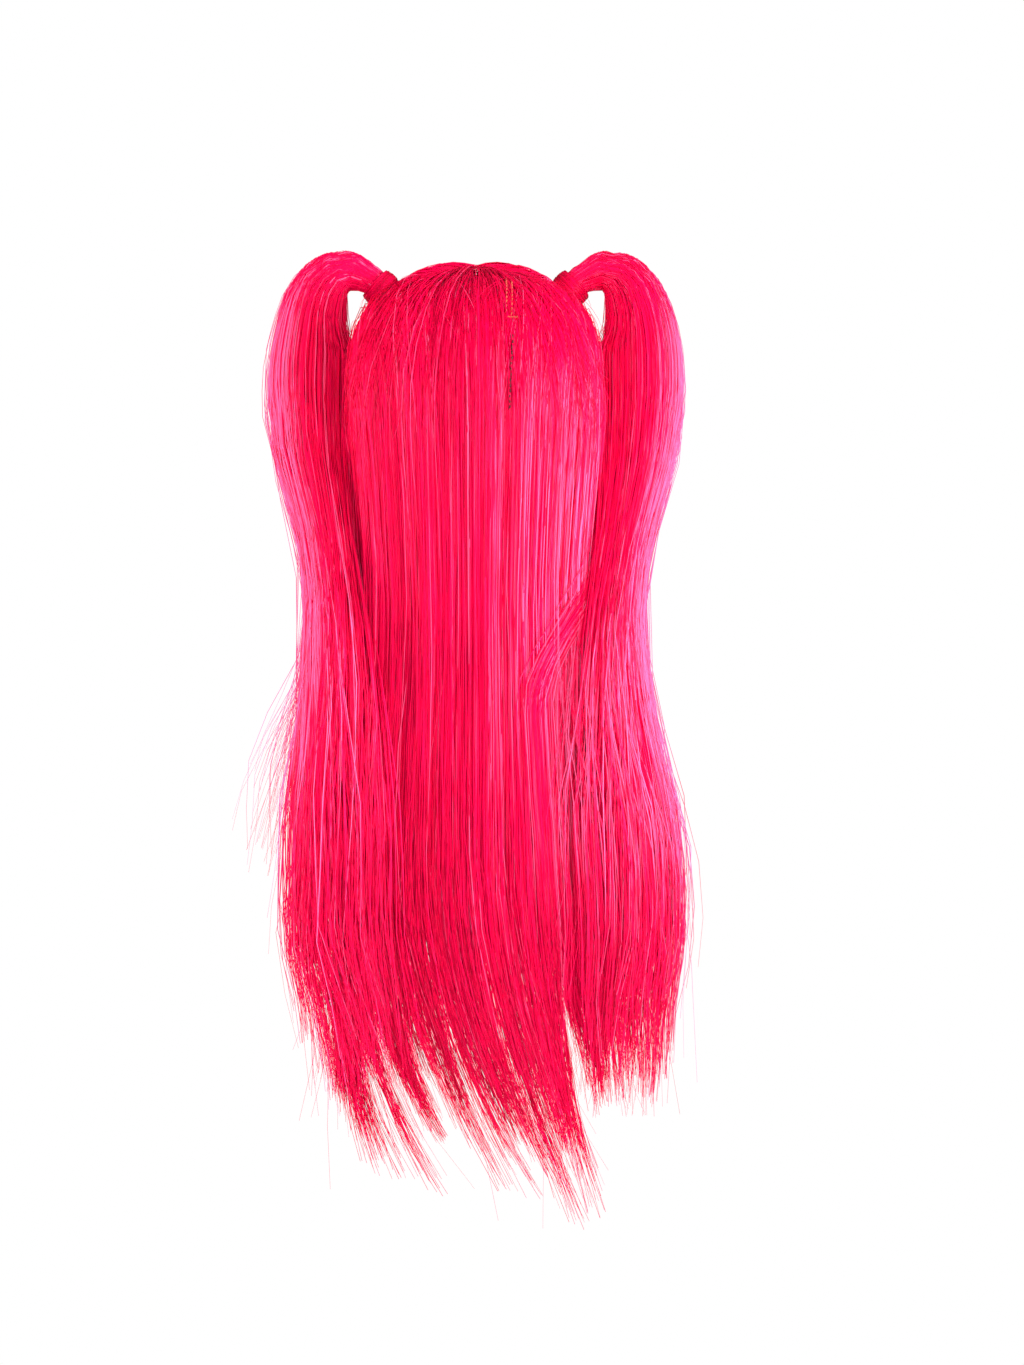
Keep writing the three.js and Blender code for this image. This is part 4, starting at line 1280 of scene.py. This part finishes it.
class WIG_OT_ties(bpy.types.Operator):
    """Makes the two ties: strands wound tightly round the neck of each pigtail"""

    bl_idname = "wig.ties"
    bl_label = "Ties"

    def execute(self, context):
        strands, colours = context.scene.wig_strands, context.scene.wig_colours
        for side, name, seed in ((1, "left", 31), (-1, "right", 32)):
            core = self.core(side, name, colours)
            core = finish_piece(core, f"tie_{name}_band", [f"tie_{name}"])
            wound = self.wound(side, name, seed, strands, colours)
            finish_piece(wound, f"tie_{name}_wound").parent = core
        return {"FINISHED"}

    def core(self, side, name, colours):
        """The elastic band under the wound strands."""
        turn = np.linspace(0, FULL_TURN, 48, endpoint=False)
        section = np.linspace(0, FULL_TURN, 25)
        middle = NECK_RADIUS + 0.4 + TIE_THICKNESS / 2
        rings = [
            neck_point(
                side, turn,
                np.full_like(turn, middle + (TIE_THICKNESS / 2 - 0.5) * math.cos(round_)),
                np.full_like(turn, (TIE_LENGTH / 2 - 0.5) * math.sin(round_)),
            )
            for round_ in section[:-1]
        ]
        return ring_shell(f"tie_{name}_band", np.array(rings), thread_material("Tie band", colours.tie))

    def wound(self, side, name, seed, strands, colours):
        """Strands wound round the band, each a little slanted."""
        rng = np.random.default_rng(seed)
        count, knots = 84, np.linspace(0, 1, 26)
        offset = each(rng, -0.93, 0.93, count) + each(rng, -0.12, 0.12, count) * (knots - 0.5)
        offset = np.clip(offset, -0.98, 0.98)
        turn = rng.uniform(0, FULL_TURN, (count, 1)) + knots * rng.uniform(4.5, 7.0, (count, 1))
        round_out = np.sqrt(np.clip(1 - offset**2, 0, 1))
        layer = rng.uniform(-0.35, 0.25, (count, 1)) - 0.9 * (1 - np.sin(knots * math.pi)) ** 4
        radius = NECK_RADIUS + 0.4 + TIE_THICKNESS / 2 + TIE_THICKNESS / 2 * round_out + layer
        points = neck_point(side, turn, radius, offset * TIE_LENGTH / 2)
        tone = np.clip(rng.normal(0.05, 0.12, (count, 1)), 0, 1)
        hair = strand_material(colours)
        return tubes(f"tie_{name}_wound", points, 1.0, tone, strands.strand_width * 1.3, hair, sides=4)


def ring_shell(name, rings, material):
    """A closed skin through rings whose last joins the first."""
    rows, count, _ = rings.shape
    index = np.arange(rows * count).reshape(rows, count)
    after, below = np.roll(index, -1, axis=1), np.roll(index, -1, axis=0)
    both = np.roll(after, -1, axis=0)
    quads = np.stack([index, after, both, below], axis=-1).reshape(-1, 4)
    return closed_mesh(name, rings.reshape(-1, 3), quads.tolist(), material)


class WIG_OT_pigtails(bpy.types.Operator):
    """Makes the two pigtails, which arch out of the ties and hang beside the back hair"""

    bl_idname = "wig.pigtails"
    bl_label = "Pigtails"

    def execute(self, context):
        strands, colours = context.scene.wig_strands, context.scene.wig_colours
        hair = strand_material(colours, "Combed hair", roughness=0.4, gloss=0.3)
        knots = np.concatenate([
            np.linspace(0, 0.24, 10), [0.33, 0.43, 0.53, 0.63, 0.72, 0.8, 0.87, 0.94, 1.0],
        ])
        for name, seed in (("left", 41), ("right", 42)):
            run = TailRun(name)
            packed = finish_piece(
                self.packed(run, name, colours), f"pigtail_{name}_packed", [f"pigtail_{name}"]
            )
            rng = np.random.default_rng(seed)
            points, swell, tone = tail_strands(
                rng, run, TAIL_SHARES[name], strands.tail_count, knots, strands.loose_share
            )
            mesh = tubes(f"pigtail_{name}_strands", points, swell, tone, strands.strand_width, hair)
            finish_piece(mesh, f"pigtail_{name}_strands").parent = packed
        return {"FINISHED"}

    def packed(self, run, name, colours):
        """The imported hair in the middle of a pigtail."""
        angle = np.linspace(0, FULL_TURN, 72, endpoint=False)
        last = run.length_at(-PIGTAIL_DROP * 0.93)
        rings = []
        for length in np.linspace(0, last, 60):
            share = 0.9 - 0.65 * smooth(length, last * 0.75, last)
            rings.append(run.point(np.full_like(angle, length), angle, np.full_like(angle, share)))
        return grid_shell(f"pigtail_{name}_packed", np.array(rings), packed_material(colours))


class WIG_OT_stage(bpy.types.Operator):
    """Makes the pale floor, the soft studio light and the camera"""

    bl_idname = "wig.stage"
    bl_label = "Stage"

    def execute(self, context):
        settings = context.scene.wig_stage
        self.floor()
        self.world(settings)
        self.lamp("Right light", 72, 0.12, 0.8, settings.side_power)
        self.lamp("Left light", -88, 0.12, 0.7, settings.side_power)
        self.lamp("Key light", 36, 0.12, 0.9, settings.key_power)
        fill = self.lamp("Fill light", -12, 0.0, 2.4, settings.fill_power)
        fill.visible_glossy = False
        front = self.lamp("Front light", 165, 0.0, 2.0, settings.fill_power * 0.8)
        front.visible_glossy = False
        self.camera(settings)
        context.scene.view_settings.view_transform = "Standard"
        return {"FINISHED"}

    def floor(self):
        """A round pale floor, well under the wig."""
        turn = np.linspace(0, FULL_TURN, 96, endpoint=False)
        mesh = bpy.data.meshes.new("floor")
        mesh.from_pydata([(0.85 * math.cos(t), 0.85 * math.sin(t), -0.9) for t in turn], [], [range(96)])
        mesh.materials.append(
            new_material("Pale floor", Base_Color=(0.9, 0.9, 0.9, 1), Roughness=0.8)[0]
        )
        floor = bpy.data.objects.new("floor", mesh)
        bpy.context.scene.collection.objects.link(floor)

    def world(self, settings):
        """White behind the wig, and an even soft light all round, with nothing bright to mirror."""
        world = bpy.data.worlds.new("Studio")
        world.use_nodes = True
        nodes, links = world.node_tree.nodes, world.node_tree.links
        even = nodes["Background"]
        even.inputs["Color"].default_value = (1, 1, 1, 1)
        even.inputs["Strength"].default_value = settings.ambient
        white = add_node(nodes, "ShaderNodeBackground", in_Color=(1, 1, 1, 1), in_Strength=1.0)
        dim = add_node(nodes, "ShaderNodeBackground", in_Color=(1, 1, 1, 1), in_Strength=0.05)
        path = nodes.new("ShaderNodeLightPath")
        lit = nodes.new("ShaderNodeMixShader")
        seen = nodes.new("ShaderNodeMixShader")
        links.new(path.outputs["Is Glossy Ray"], lit.inputs["Fac"])
        links.new(even.outputs["Background"], lit.inputs[1])
        links.new(dim.outputs["Background"], lit.inputs[2])
        links.new(path.outputs["Is Camera Ray"], seen.inputs["Fac"])
        links.new(lit.outputs["Shader"], seen.inputs[1])
        links.new(white.outputs["Background"], seen.inputs[2])
        links.new(seen.outputs["Shader"], nodes["World Output"].inputs["Surface"])
        bpy.context.scene.world = world

    def lamp(self, name, azimuth, height, size, power):
        """A square soft light at an angle to the right of the camera's own direction."""
        turn, distance = math.radians(azimuth), 2.3
        place = Vector((-distance * math.sin(turn), distance * math.cos(turn), height))
        data = bpy.data.lights.new(name, "AREA")
        data.size = size
        data.energy = power
        light = bpy.data.objects.new(name, data)
        light.location = place
        light.rotation_euler = (Vector((0, 0, -0.22)) - place).to_track_quat("-Z", "Y").to_euler()
        bpy.context.scene.collection.objects.link(light)
        return light

    def camera(self, settings):
        """The camera behind the wearer, level with the middle of the frame."""
        data = bpy.data.cameras.new("Camera")
        data.sensor_width = 36
        data.lens = data.sensor_width * settings.camera_distance / settings.frame_height
        camera = bpy.data.objects.new("Camera", data)
        camera.location = (-0.0238, settings.camera_distance, -0.261)
        camera.rotation_euler = (QUARTER, 0, math.pi)
        bpy.context.scene.collection.objects.link(camera)
        bpy.context.scene.camera = camera


class WIG_PT_panel(bpy.types.Panel):
    """Lists the wig's settings and the steps that make it"""

    bl_label = "Pigtail wig"
    bl_idname = "WIG_PT_panel"
    bl_space_type = "VIEW_3D"
    bl_region_type = "UI"
    bl_category = "Wig"

    def draw(self, context):
        """Shows each group of settings, then a button for each step."""
        for title, group in SETTINGS.items():
            box = self.layout.box()
            settings = getattr(context.scene, group)
            box.label(text=title)
            for name in settings.bl_rna.properties.keys():
                if name not in ("name", "rna_type"):
                    box.prop(settings, name)
        for step in STEPS:
            self.layout.operator(step.bl_idname)


GROUPS = {
    "wig_colours": WigColours,
    "wig_strands": StrandSettings,
    "wig_cap": CapSettings,
    "wig_stage": StageSettings,
}
SETTINGS = {
    "Colours": "wig_colours",
    "Strands": "wig_strands",
    "Cap": "wig_cap",
    "Stage": "wig_stage",
}
STEPS = (
    WIG_OT_cap,
    WIG_OT_back_hair,
    WIG_OT_weft_seam,
    WIG_OT_fronts,
    WIG_OT_ties,
    WIG_OT_pigtails,
    WIG_OT_stage,
)


def register():
    """Registers the classes and hangs the settings on the scene."""
    for kind in (*GROUPS.values(), *STEPS, WIG_PT_panel):
        bpy.utils.register_class(kind)
    for name, kind in GROUPS.items():
        setattr(bpy.types.Scene, name, bpy.props.PointerProperty(type=kind))


def unregister():
    """Takes the settings and the classes away again."""
    for name in GROUPS:
        delattr(bpy.types.Scene, name)
    for kind in (WIG_PT_panel, *STEPS[::-1], *reversed(GROUPS.values())):
        bpy.utils.unregister_class(kind)


def main():
    """Makes every piece in order."""
    register()
    bpy.ops.wig.cap()
    bpy.ops.wig.back_hair()
    bpy.ops.wig.weft_seam()
    bpy.ops.wig.fronts()
    bpy.ops.wig.ties()
    bpy.ops.wig.pigtails()
    bpy.ops.wig.stage()


if __name__ == "__main__":
    main()
